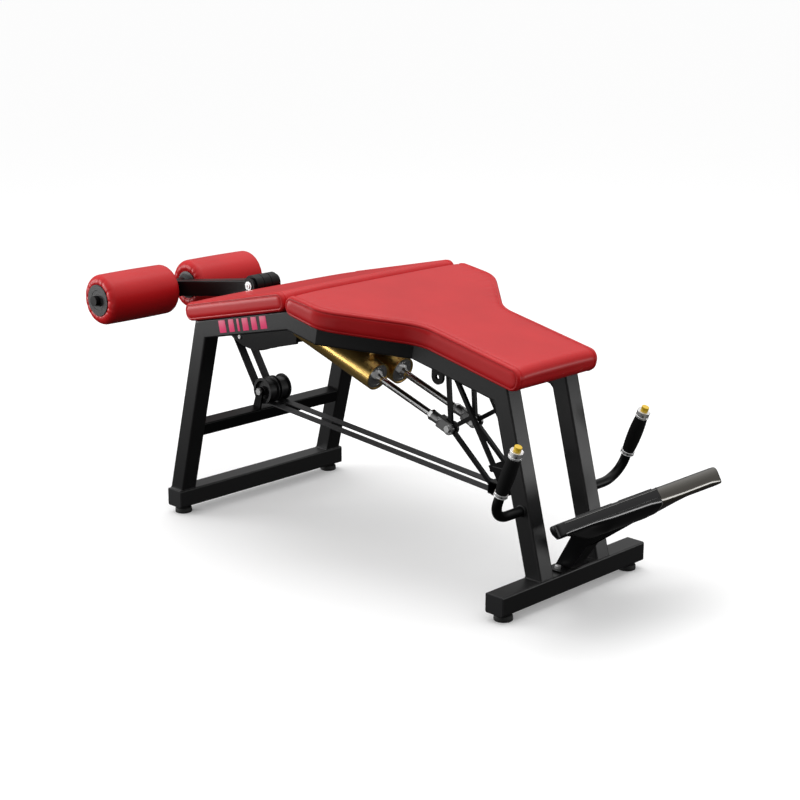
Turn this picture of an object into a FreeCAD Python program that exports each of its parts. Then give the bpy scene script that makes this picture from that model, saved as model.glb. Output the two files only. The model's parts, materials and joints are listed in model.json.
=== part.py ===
import FreeCAD, Part

import math
import os

# Prone leg-curl machine, pneumatic resistance. Millimetres, +Z up, +X from the rollers to the head end,
# +Y to the left of a person lying on it. Stations along the machine are drawn from the front face of the
# front base bar (x = 0) and every piece is moved once, in save(), so that the origin is at the floor,
# under the middle of the whole machine.

V = FreeCAD.Vector
X_AXIS = V(1, 0, 0)
Y_AXIS = V(0, 1, 0)
Z_AXIS = V(0, 0, 1)
SIDES = {"right": -1, "left": 1}

# Overall size
FLOOR_TO_BASE = 21.6
ROLLER_X = -1571.4
ROLLER_R = 74.0
DISPLAY_RIM_TOP = (190.0, 317.0)
DISPLAY_TILT_DEG = 30.0
DISPLAY_RIM = 46.0
DISPLAY_FRONT_X = DISPLAY_RIM_TOP[0] + DISPLAY_RIM * math.sin(math.radians(DISPLAY_TILT_DEG))
ORIGIN_SHIFT = -(ROLLER_X - ROLLER_R + DISPLAY_FRONT_X) / 2

# Frame tube
TUBE = 50.8
TUBE_WALL = 3.0
TUBE_CORNER = 5.0
BASE_WIDTH = 57.0
BASE_TOP = FLOOR_TO_BASE + TUBE
REAR_BASE_X = -1209.0
FRONT_BASE_X = -BASE_WIDTH / 2
REAR_BASE_HALF = 316.0
FRONT_BASE_HALF = 279.0
END_CAP = 4.0
REAR_FOOT_Y = 283.0
FRONT_FOOT_Y = 243.6
FOOT_R = 24.0
FOOT_HEIGHT = 15.0
STUD_R = 5.0

# Side frame centre line: rear leg, rail over the apex, diagonal, front rail, front leg
WIDE_Y = 281.2
NARROW_Y = 110.3
REAR_CORNER = (-1082.7, 558.0)
APEX = (-728.0, 638.8)
FRONT_CORNER = (-145.7, 521.3)
BEND_OUT_X = -627.0
BEND_IN_X = -450.0
FRONT_SLOPE = (FRONT_CORNER[1] - APEX[1]) / (FRONT_CORNER[0] - APEX[0])
REAR_SLOPE = (APEX[1] - REAR_CORNER[1]) / (APEX[0] - REAR_CORNER[0])

# Knee pivot, cams and lever arm
KNEE = (-1175.4, 628.3)
KNEE_SHAFT_R = 10.0
HUB_R = 29.0
HUB_HALF = 41.0
ARM_WIDTH = 50.0
ARM_HEIGHT = 46.0
ARM_DROP = (10.0, 3.5)
ROLLER_Z = 562.5
CAM_RIM_R = 165.0
CAM_FLANGE_R = 188.0
CAM_START_DEG = 200.0
CAM_END_DEG = 318.0
RUNNING = 0.05
SKIN_GAP = 0.3

# Carrier plates that hold the knee shaft and the rear ends of the cylinders
CARRIER_Y = 42.5
CARRIER_THICK = 8.0
PLANE_Y = CARRIER_Y + CARRIER_THICK / 2

# Belts and idlers
BELT_Y = 22.0
BELT_WIDTH = 28.0
BELT_THICK = 3.0
BELT_START_DEG = 213.3
IDLER = (-1138.0, 324.0)
IDLER_GROOVE_R = 32.0
IDLER_FLANGE_R = 38.0
IDLER_AXLE_R = 8.0

# Rocker, rods and cylinders
ROCKER = (-402.0, 550.0)
CLEVIS = (-388.5, 368.0)
BELT_TIP = (-248.0, 222.0)
ROCKER_SHAFT_R = 10.0
ROCKER_BAR = 11.0
ROCKER_BAR_THICK = 10.0
CYLINDER_PIVOT = (-1000.0, 567.0)
CYLINDER_FRONT_X = -656.0
CYLINDER_R = 39.0
CYLINDER_BORE_R = 35.5
ROD_R = 9.5
PIN_R = 6.0

# Pads
PAD_HALF = 327.0
REAR_PAD_X = (-1128.0, -727.0)
REAR_PAD_THICK = 51.0
FRONT_PAD_X = (-707.0, -70.0)
FRONT_PAD_WIDE_X = -589.5
FRONT_PAD_NARROW_X = -406.5
FRONT_PAD_NARROW_HALF = 155.0
FRONT_PAD_THICK = 52.0
FRONT_PAD_TAPER = 9.0
FRONT_PAD_WIDE_HALF = 330.0
PAD_END_R = 21.0
BOARD_THICK = 12.0
BOARD_INSET = 22.0

# Handles
HANDLE_Y = 246.0
HANDLE_FOOT = (-71.5, 240.0)
GRIP_LEAN_DEG = 21.8
HANDLE_TUBE_R = 12.7
HANDLE_WALL = 2.4
HANDLE_BEND_R = 60.0
GRIP_R = 18.0
COLLAR_START = 78.0
COLLAR_HEIGHT = 9.0
GRIP_LENGTH = 103.0
LOW_COLLAR_R = 17.5
TOP_COLLAR_R = 16.5
TOP_COLLAR_HEIGHT = 19.0
BUTTON_R = 9.8
BUTTON_PROUD = 13.0

# Display
DISPLAY_DEPTH = 180.0
DISPLAY_HALF = 313.0
DISPLAY_BELLY = 58.0
DISPLAY_WING = 30.0
DISPLAY_SPLIT_Y = 58.0

BIG = 4000.0


def point(xz, y):
    """A point from an (x, z) station and a y."""
    return V(xz[0], y, xz[1])


def polar(centre, radius, degrees):
    """The (x, z) point at an angle from +X towards +Z around a centre."""
    angle = math.radians(degrees)
    return (centre[0] + radius * math.cos(angle), centre[1] + radius * math.sin(angle))


def along(start, end, distance):
    """The (x, z) point at a distance from start towards end."""
    length = math.dist(start, end)
    return tuple(a + (b - a) * distance / length for a, b in zip(start, end))


def placed(shape, origin, direction, up):
    """Put a shape drawn along local +X with local +Z up at an origin, pointing along a direction."""
    x = V(direction).normalize()
    y = V(up).cross(x).normalize()
    z = x.cross(y)
    matrix = FreeCAD.Matrix(x.x, y.x, z.x, origin.x, x.y, y.y, z.y, origin.y, x.z, y.z, z.z, origin.z, 0, 0, 0, 1)
    result = shape.copy()
    result.transformShape(matrix, True)
    return result


def bar(length, width, height, corner):
    """A bar along local +X, centred on Y and Z, with rounded long edges."""
    box = Part.makeBox(length, width, height, V(0, -width / 2, -height / 2))
    if corner <= 0:
        return box
    long_edges = [edge for edge in box.Edges if abs(edge.tangentAt(edge.FirstParameter).x) > 0.9]
    return box.makeFillet(corner, long_edges)


def tube(length, width, height, wall, corner):
    """A rectangular tube along local +X, open at both ends."""
    inside = bar(length + 2, width - 2 * wall, height - 2 * wall, max(corner - wall, 0.5))
    inside.translate(V(-1, 0, 0))
    return bar(length, width, height, corner).cut(inside)


def tube_between(start, end, up, width=TUBE, height=TUBE, wall=TUBE_WALL, corner=TUBE_CORNER, extra=0.0):
    """A rectangular tube from start to end, run on past both by extra."""
    direction = (end - start).normalize()
    length = (end - start).Length + 2 * extra
    return placed(tube(length, width, height, wall, corner), start - direction * extra, direction, up)


def beyond(origin, normal):
    """A block that fills everything past a plane, to cut away."""
    block = Part.makeBox(BIG, BIG, BIG, V(0, -BIG / 2, -BIG / 2))
    side = Y_AXIS if abs(V(normal).normalize().y) < 0.9 else Z_AXIS
    return placed(block, origin, normal, side)


def mitred_run(points, ups):
    """One square tube per leg of a route, cut on the bisecting plane at each corner."""
    tubes = []
    for index, up in enumerate(ups):
        start = points[index]
        end = points[index + 1]
        piece = tube_between(start, end, up, extra=60)
        direction = (end - start).normalize()
        if index > 0:
            before = (start - points[index - 1]).normalize()
            piece = piece.cut(beyond(start, (before + direction) * -1))
        if index < len(ups) - 1:
            after = (points[index + 2] - end).normalize()
            piece = piece.cut(beyond(end, direction + after))
        tubes.append(piece)
    return tubes


def rod(centre, y0, y1, radius):
    """A round bar along Y through an (x, z) point."""
    return Part.makeCylinder(radius, y1 - y0, V(centre[0], y0, centre[1]), Y_AXIS)


def ring(centre, y0, y1, outer, inner):
    """A round sleeve along Y."""
    return rod(centre, y0, y1, outer).cut(rod(centre, y0 - 1, y1 + 1, inner))


def plate(outline, y0, y1):
    """A flat plate with an (x, z) outline, from y0 to y1."""
    wire = Part.makePolygon([V(x, y0, z) for x, z in outline + outline[:1]])
    return Part.Face(wire).extrude(V(0, y1 - y0, 0))


def flat_link(start, end, width, y0, y1):
    """A flat bar between two (x, z) points, square at its ends."""
    direction = V(end[0] - start[0], 0, end[1] - start[1])
    box = Part.makeBox(direction.Length, y1 - y0, width, V(0, -(y1 - y0) / 2, -width / 2))
    return placed(box, point(start, (y0 + y1) / 2), direction, V(-direction.z, 0, direction.x))


def sector(centre, outer, inner, start_deg, end_deg, y0, y1):
    """A slice of a sleeve along Y, between two angles from +X towards +Z."""
    steps = 6
    reach = outer * 1.3
    angles = [start_deg + (end_deg - start_deg) * i / steps for i in range(steps + 1)]
    fan = [centre] + [polar(centre, reach, a) for a in angles]
    return ring(centre, y0, y1, outer, inner).common(plate(fan, y0, y1))


def fused(shapes):
    """Join shapes into one solid with clean faces."""
    return shapes[0].fuse(shapes[1:]).removeSplitter()


def both_sides(y0, y1):
    """The same y span on the right and on the left, low value first."""
    return [(-y1, -y0), (y0, y1)]


def save(name, *shapes):
    """Move a piece's solids to the row frame and write them."""
    solids = [solid for shape in shapes for solid in shape.Solids]
    result = solids[0] if len(solids) == 1 else Part.makeCompound(solids)
    result = result.copy()
    result.translate(V(ORIGIN_SHIFT, 0, 0))
    if not result.isValid():
        print("not valid:", name)
    result.exportStep(f"parts/{name}.step")
    box = result.BoundBox
    print(f"{name:24s} {len(solids)} x {box.XMin:8.1f} {box.XMax:8.1f} y {box.YMin:7.1f} {box.YMax:7.1f} "
          f"z {box.ZMin:6.1f} {box.ZMax:6.1f}")


# ---------------------------------------------------------------- base bars, feet

def base():
    bars = {"rear": (REAR_BASE_X, REAR_BASE_HALF, REAR_FOOT_Y), "front": (FRONT_BASE_X, FRONT_BASE_HALF, FRONT_FOOT_Y)}
    middle_z = FLOOR_TO_BASE + TUBE / 2
    caps = []
    pads = []
    studs = []
    for name, (x, half, foot_y) in bars.items():
        end = half - END_CAP
        body = tube_between(V(x, -end, middle_z), V(x, end, middle_z), Z_AXIS, width=BASE_WIDTH)
        for side in SIDES.values():
            body = body.cut(Part.makeCylinder(STUD_R, 10, V(x, side * foot_y, FLOOR_TO_BASE - 5)))
            cap = placed(bar(END_CAP, BASE_WIDTH, TUBE, TUBE_CORNER), V(x, side * end, middle_z), Y_AXIS * side, Z_AXIS)
            cap_edges = [e for e in cap.Edges if abs(e.BoundBox.YMin - side * half) < 0.1
                         and abs(e.BoundBox.YMax - side * half) < 0.1]
            caps.append(cap.makeChamfer(1.5, cap_edges))
            pad = Part.makeCylinder(FOOT_R, FOOT_HEIGHT, V(x, side * foot_y, 0))
            rims = [e for e in pad.Edges if isinstance(e.Curve, Part.Circle)]
            pads.append(pad.makeFillet(2.0, rims))
            stud = Part.makeCylinder(STUD_R, 34, V(x, side * foot_y, FOOT_HEIGHT))
            nut = hexagon(V(x, side * foot_y, FOOT_HEIGHT), 9.5, FLOOR_TO_BASE - FOOT_HEIGHT, Z_AXIS)
            studs.append(fused([stud, nut]))
        save(f"{name}_base_bar", body)
    save("base_end_caps", *caps)
    save("foot_pads", *pads)
    save("foot_studs", *studs)


def hexagon(origin, radius, height, axis):
    """A hexagonal nut or bolt head blank standing on a point along an axis."""
    corners = [V(0, radius * math.cos(math.radians(60 * i)), radius * math.sin(math.radians(60 * i))) for i in range(7)]
    blank = Part.Face(Part.makePolygon(corners)).extrude(V(height, 0, 0))
    side = Z_AXIS if abs(V(axis).normalize().z) < 0.9 else Y_AXIS
    return placed(blank, origin, axis, side)


# ---------------------------------------------------------------- side frames and cross members

def slope_z(start, slope, x):
    return start[1] + slope * (x - start[0])


def rear_plane_z(x):
    """Centre height of the rear rail at a station."""
    return slope_z(REAR_CORNER, REAR_SLOPE, x)


def front_plane_z(x):
    """Centre height of the front rail at a station."""
    return slope_z(APEX, FRONT_SLOPE, x)


def upright(slope):
    """The direction square to a rail of a given slope, in the side plane."""
    return V(-slope, 0, 1).normalize()


def side_tubes(side):
    """One side of the frame: rear leg, rear rail over the apex to the bend, front rail, front leg."""
    wide = side * WIDE_Y
    narrow = side * NARROW_Y
    route = [
        V(REAR_BASE_X, wide, BASE_TOP),
        point(REAR_CORNER, wide),
        point(APEX, wide),
        V(BEND_OUT_X, wide, front_plane_z(BEND_OUT_X)),
        V(BEND_IN_X, narrow, front_plane_z(BEND_IN_X)),
        point(FRONT_CORNER, narrow),
        V(FRONT_BASE_X, narrow, BASE_TOP),
    ]
    front_up = upright(FRONT_SLOPE)
    ups = [X_AXIS * -1, upright(REAR_SLOPE), front_up, front_up, front_up, X_AXIS]
    tubes = mitred_run(route, ups)
    under = beyond(V(0, 0, BASE_TOP), Z_AXIS * -1)
    front_leg = fused([tubes[5].cut(under), front_gusset(narrow)])
    return [tubes[0].cut(under), fused(tubes[1:3]), fused(tubes[3:5]), front_leg]


def front_gusset(y):
    """A small web in the inner corner between the front rail and its leg."""
    reach = 14.0
    half_wide = 18.0
    corner = V(FRONT_CORNER[0], 0, FRONT_CORNER[1])
    along_rail = V(-1, 0, -FRONT_SLOPE).normalize()
    down_leg = V(FRONT_BASE_X - FRONT_CORNER[0], 0, BASE_TOP - FRONT_CORNER[1]).normalize()
    middle = (along_rail + down_leg).normalize()
    inner = corner + middle * (TUBE / 2 / math.sin(along_rail.getAngle(down_leg) / 2))
    outline = [inner, inner + along_rail * reach, inner + down_leg * reach]
    return plate([(p.x, p.z) for p in outline], y - half_wide, y + half_wide)


def side_frames():
    right = side_tubes(SIDES["right"])
    left = side_tubes(SIDES["left"])
    for name, pair in zip(("rear_legs", "rear_rails", "front_rails", "front_legs"), zip(right, left)):
        save(name, *pair)


def cross_bars():
    inner = WIDE_Y - TUBE / 2
    lean = V(REAR_CORNER[0] - REAR_BASE_X, 0, REAR_CORNER[1] - BASE_TOP).normalize()
    low = (-1157.3, 256.5)
    bar_size = 38.1
    save("rear_cross_bar", tube_between(point(low, -inner), point(low, inner), lean, bar_size, bar_size, 2.5, 4.0))
    rear_up = upright(REAR_SLOPE)
    knee_x = -1043.0
    knee_bar = (36.0, 22.0)
    knee_z = rear_plane_z(knee_x) + TUBE / 2 - knee_bar[1] / 2
    knee_at = (knee_x, knee_z)
    save("knee_cross_bar", tube_between(point(knee_at, -inner), point(knee_at, inner), rear_up, *knee_bar, 3.0, 3.0))
    apex_at = (APEX[0], APEX[1] - 4)
    front_at = (-300.0, front_plane_z(-300.0))
    front_inner = NARROW_Y - TUBE / 2
    save("pad_cross_bars",
         tube_between(point(apex_at, -inner), point(apex_at, inner), Z_AXIS, 38.1, 30.0, 2.5, 4.0),
         tube_between(point(front_at, -front_inner), point(front_at, front_inner), upright(FRONT_SLOPE),
                      38.1, 30.0, 2.5, 4.0))
    return knee_at, knee_bar, rear_up


def carriers(knee_at, knee_bar, rear_up):
    """Plates under the rear rails, from the knee shaft to the rear ends of the cylinders."""
    nose = CYLINDER_PIVOT
    seat = (knee_at[0] - rear_up.x * knee_bar[1] / 2, knee_at[1] - rear_up.z * knee_bar[1] / 2)
    front_x = -977.0
    nose_r = 15.0
    boss_r = 23.0
    outline = [
        (KNEE[0] - boss_r, KNEE[1]),
        (KNEE[0] - boss_r, 560.0),
        (-1172.0, 448.0),
        (-1160.0, 441.5),
        (front_x, 491.0),
        (front_x, nose[1] + 8.0),
        (nose[0] + 6.0, nose[1] + nose_r),
        (nose[0] - 4.0, slope_z(seat, REAR_SLOPE, nose[0] - 4.0)),
        (-1095.0, slope_z(seat, REAR_SLOPE, -1095.0)),
        (KNEE[0] + boss_r, 600.0),
        (KNEE[0] + boss_r, KNEE[1]),
    ]
    plates = []
    for y0, y1 in both_sides(CARRIER_Y, CARRIER_Y + CARRIER_THICK):
        body = fused([plate(outline, y0, y1), rod(KNEE, y0, y1, boss_r)])
        body = body.cut(rod(KNEE, y0 - 1, y1 + 1, KNEE_SHAFT_R)).cut(rod(nose, y0 - 1, y1 + 1, PIN_R))
        plates.append(body)
    save("carrier_plates", *plates)
    outer = CARRIER_Y + CARRIER_THICK
    shaft = rod(KNEE, -outer, outer, KNEE_SHAFT_R)
    washer = 2.5
    heads = [rod(KNEE, y0, y1, 13.0) for y0, y1 in both_sides(outer, outer + washer)]
    for y0, y1 in both_sides(outer + washer, outer + washer + 2.5):
        heads.append(ring(KNEE, y0, y1, 7.5, 4.0))
    save("knee_shaft", fused([shaft] + heads))
    save("cylinder_pivot_pins", *[rod(nose, y0, y1, PIN_R) for y0, y1 in both_sides(CARRIER_Y, outer)])


# ---------------------------------------------------------------- lever arm, cams and rollers

def lever():
    roller = (ROLLER_X, ROLLER_Z)
    end_r = 24.0
    arm_start = (KNEE[0], KNEE[1] - ARM_DROP[0])
    arm_end = (ROLLER_X, ROLLER_Z - ARM_DROP[1])
    direction = V(arm_end[0] - arm_start[0], 0, arm_end[1] - arm_start[1])
    up = V(direction.z, 0, -direction.x)
    tip = along(arm_start, arm_end, direction.Length - end_r + 2)
    root = along(arm_start, arm_end, HUB_R - 8)
    arm = tube_between(point(root, 0), point(tip, 0), up, ARM_WIDTH, ARM_HEIGHT, 3.0, 4.0)
    arm_room = placed(bar(direction.Length, ARM_WIDTH + 1, ARM_HEIGHT + 2 * SKIN_GAP, 0), point(root, 0), direction, up)
    arm = arm.cut(rod(KNEE, -HUB_HALF, HUB_HALF, HUB_R))
    half = ARM_WIDTH / 2
    socket = rod(roller, -half, half, end_r)
    arm = fused([arm.cut(rod(roller, -half - 1, half + 1, end_r)), socket]).cut(rod(roller, -half - 1, half + 1, 12.5))
    save("lever_arm", arm)

    hub = ring(KNEE, -HUB_HALF, HUB_HALF, HUB_R, KNEE_SHAFT_R + RUNNING)
    for y in (-14.0, 14.0):
        hub = hub.cut(ring(KNEE, y - 1.0, y + 1.0, HUB_R + 1, HUB_R - 1.5))
    save("arm_hub", hub)

    cams = []
    wraps = []
    clamps = []
    for side in SIDES.values():
        middle = side * BELT_Y
        inside_face = BELT_WIDTH / 2 + 1
        pieces = [sector(KNEE, CAM_RIM_R, CAM_RIM_R - 14, CAM_START_DEG, CAM_END_DEG,
                         middle - inside_face, middle + inside_face)]
        for face in (-1, 1):
            y0 = middle + face * inside_face
            y1 = y0 + face * 3.5
            pieces.append(sector(KNEE, CAM_FLANGE_R, HUB_R, CAM_START_DEG, CAM_END_DEG, min(y0, y1), max(y0, y1)))
        cams.append(fused(pieces).cut(arm_room))
        belt_y = (middle - BELT_WIDTH / 2, middle + BELT_WIDTH / 2)
        wraps.append(sector(KNEE, CAM_RIM_R + BELT_THICK, CAM_RIM_R, CAM_START_DEG, BELT_START_DEG, *belt_y))
        clamps.append(sector(KNEE, CAM_RIM_R + BELT_THICK + 4, CAM_RIM_R + BELT_THICK, CAM_START_DEG,
                             CAM_START_DEG + 7, *belt_y))
    save("cams", *cams)
    save("belt_wraps", *wraps)
    save("cam_belt_clamps", *clamps)

    shaft_half = 293.0
    stub_r = 15.0
    stub = 14.0
    shaft = rod(roller, -shaft_half, shaft_half, 12.5)
    stubs = [rod(roller, y0, y1, stub_r) for y0, y1 in both_sides(shaft_half, shaft_half + stub)]
    save("roller_shaft", fused([shaft] + stubs))

    for name, side in SIDES.items():
        pad_span = both_sides(38.0, 290.0)[0 if side < 0 else 1]
        pad = rod(roller, *pad_span, ROLLER_R)
        rims = [e for e in pad.Edges if isinstance(e.Curve, Part.Circle)]
        pad = pad.makeFillet(20.0, rims)
        core_r = 26.0
        disc_r = 47.0
        outer_disc = both_sides(287.0, 292.0)[0 if side < 0 else 1]
        inner_disc = both_sides(35.0, 41.0)[0 if side < 0 else 1]
        dome = both_sides(27.0, 35.0)[0 if side < 0 else 1]
        full = (min(outer_disc[0], dome[0]), max(outer_disc[1], dome[1]))
        dome_end = Part.makeCone(disc_r - 5, 20.0, 8.0, V(ROLLER_X, side * 35.0, ROLLER_Z), Y_AXIS * -side)
        core = fused([rod(roller, *full, core_r - 6), rod(roller, *outer_disc, disc_r), dome_end,
                      rod(roller, *inner_disc, disc_r - 5)])
        save(f"roller_pad_{name}", pad.cut(core))
        save(f"roller_core_{name}", core.cut(rod(roller, full[0] - 1, full[1] + 1, 12.5 + RUNNING)))


# ---------------------------------------------------------------- belts and idlers

def idlers():
    for name, side in SIDES.items():
        middle = side * BELT_Y
        groove = BELT_WIDTH / 2 + 1
        flange = groove + 3.0
        wheel = [rod(IDLER, middle - groove, middle + groove, IDLER_GROOVE_R - SKIN_GAP)]
        for face in (-1, 1):
            y0 = middle + face * groove
            y1 = middle + face * flange
            wheel.append(rod(IDLER, min(y0, y1), max(y0, y1), IDLER_FLANGE_R))
        body = fused(wheel)
        dish_y = middle + side * flange
        dish = ring(IDLER, min(dish_y, dish_y - side * 8), max(dish_y, dish_y - side * 8), 30.0, 14.0)
        body = body.cut(dish).cut(rod(IDLER, middle - 30, middle + 30, IDLER_AXLE_R + RUNNING))
        save(f"idler_{name}", body)
    brackets = []
    plate_y = 44.0
    plate_thick = 7.0
    low = (-1157.3, 256.5)
    lean = math.degrees(math.atan2(REAR_CORNER[1] - BASE_TOP, REAR_CORNER[0] - REAR_BASE_X))
    top_of_bar = polar(low, 19.05, lean)
    side_step = polar((0, 0), 14.0, lean - 90)
    outline = [
        (top_of_bar[0] - side_step[0], top_of_bar[1] - side_step[1]),
        (top_of_bar[0] + side_step[0], top_of_bar[1] + side_step[1]),
        (IDLER[0] + 13.0, IDLER[1] - 3.0),
        (IDLER[0] + 9.0, IDLER[1] + 9.5),
        (IDLER[0] - 9.0, IDLER[1] + 9.5),
        (IDLER[0] - 13.0, IDLER[1] - 3.0),
    ]
    for y0, y1 in both_sides(plate_y, plate_y + plate_thick):
        body = fused([plate(outline, y0, y1), rod(IDLER, y0, y1, 13.0)])
        brackets.append(body.cut(rod(IDLER, y0 - 1, y1 + 1, IDLER_AXLE_R)))
    save("idler_brackets", *brackets)
    outer = plate_y + plate_thick
    axle = [rod(IDLER, -outer - 5, outer + 5, IDLER_AXLE_R)]
    axle.append(hexagon(point(IDLER, outer), 10.5, 5.0, Y_AXIS))
    axle.append(hexagon(point(IDLER, -outer), 10.5, 5.0, Y_AXIS * -1))
    save("idler_axle", fused(axle))


def belts():
    middle_r = CAM_RIM_R + BELT_THICK / 2
    idler_r = IDLER_GROOVE_R + BELT_THICK / 2
    top = polar(KNEE, middle_r, BELT_START_DEG)
    low = polar(IDLER, idler_r, BELT_START_DEG)
    reach = math.dist(IDLER, BELT_TIP)
    leave_deg = math.degrees(math.atan2(BELT_TIP[1] - IDLER[1], BELT_TIP[0] - IDLER[0]) - math.acos(idler_r / reach)) % 360
    leave = polar(IDLER, idler_r, leave_deg)
    up_runs = []
    forward = []
    for side in SIDES.values():
        y0 = side * BELT_Y - BELT_WIDTH / 2
        y1 = y0 + BELT_WIDTH
        run = flat_link(top, low, BELT_THICK, y0, y1)
        run = run.cut(rod(KNEE, y0 - 1, y1 + 1, CAM_RIM_R + BELT_THICK + SKIN_GAP))
        bend = sector(IDLER, IDLER_GROOVE_R + BELT_THICK, IDLER_GROOVE_R, BELT_START_DEG, leave_deg, y0, y1)
        up_runs.append(fused([run, bend]))
        forward.append(flat_link(leave, BELT_TIP, BELT_THICK, y0, y1))
    save("belt_up_runs", *up_runs)
    save("belt_forward_runs", *forward)
    return leave


# ---------------------------------------------------------------- rocker, rods and cylinders

def rocker(leave):
    brackets = []
    spare_hole = (-404.0, 508.0)
    rail_inner = NARROW_Y - TUBE / 2
    bracket_thick = 8.0
    for y0, y1 in both_sides(rail_inner - bracket_thick, rail_inner):
        body = fused([rod(spare_hole, y0, y1, 20.0), rod((ROCKER[0], ROCKER[1] + 14), y0, y1, 20.0),
                      flat_link(spare_hole, (ROCKER[0], ROCKER[1] + 14), 40.0, y0, y1)])
        body = body.cut(rod(ROCKER, y0 - 1, y1 + 1, ROCKER_SHAFT_R)).cut(rod(spare_hole, y0 - 1, y1 + 1, 6.5))
        brackets.append(body)
    save("rocker_brackets", *brackets)
    save("rocker_shaft", rod(ROCKER, -rail_inner, rail_inner, ROCKER_SHAFT_R))

    half_bar = ROCKER_BAR_THICK / 2
    slope = V(BELT_TIP[0] - leave[0], 0, BELT_TIP[1] - leave[1]).normalize()
    tip_up = V(-slope.z, 0, slope.x)
    tip_width = 50.0
    tip_height = 34.0
    overlap = 8.0
    tip_middle = V(BELT_TIP[0], 0, BELT_TIP[1]) + slope * (tip_width / 2 - overlap) + tip_up * (
        tip_height / 2 + BELT_THICK / 2)
    tip_half = PLANE_Y + half_bar
    tip = tube_between(V(tip_middle.x, -tip_half, tip_middle.z), V(tip_middle.x, tip_half, tip_middle.z), tip_up,
                       tip_width, tip_height, 3.0, 3.0)
    tip_front = (tip_middle.x + 19.0, tip_middle.z + 13.0)
    tip_rear = (tip_middle.x - 16.0, tip_middle.z + 8.0)
    brace_at = along(ROCKER, tip_front, 0.46 * math.dist(ROCKER, tip_front))
    pieces = []
    for side in SIDES.values():
        y0 = side * PLANE_Y - half_bar
        y1 = side * PLANE_Y + half_bar
        for start, end in ((ROCKER, CLEVIS), (ROCKER, tip_front), (CLEVIS, tip_rear), (CLEVIS, brace_at)):
            pieces.append(flat_link(start, end, ROCKER_BAR, y0, y1))
        pieces.append(rod(CLEVIS, y0, y1, 13.0))
    hub = rod(ROCKER, -PLANE_Y - 20, PLANE_Y + 20, 19.0)
    body = fused([hub, tip] + pieces)
    inside = bar(tip_half * 2 + 2, tip_width - 6, tip_height - 6, 0.5)
    inside.translate(V(-tip_half - 1, 0, 0))
    body = body.cut(placed(inside, tip_middle, Y_AXIS, tip_up))
    body = body.cut(rod(ROCKER, -BIG / 2, BIG / 2, ROCKER_SHAFT_R + RUNNING))
    body = body.cut(rod(CLEVIS, -BIG / 2, BIG / 2, PIN_R))
    save("rocker_frame", body)

    under = tip_middle - tip_up * (tip_height / 2 + BELT_THICK)
    clamps = []
    for side in SIDES.values():
        clamp = bar(BELT_WIDTH + 6, tip_width - 20, 5.0, 1.5)
        clamp.translate(V(-(BELT_WIDTH + 6) / 2, 0, 0))
        centre = V(under.x, side * BELT_Y, under.z) - slope * 8 - tip_up * 2.8
        clamps.append(placed(clamp, centre, Y_AXIS, tip_up))
    save("belt_clamps", *clamps)

    rest_stop(tip_front)
    save("rocker_pins", *[rod(CLEVIS, side * PLANE_Y - half_bar, side * PLANE_Y + half_bar, PIN_R)
                          for side in SIDES.values()])


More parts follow.
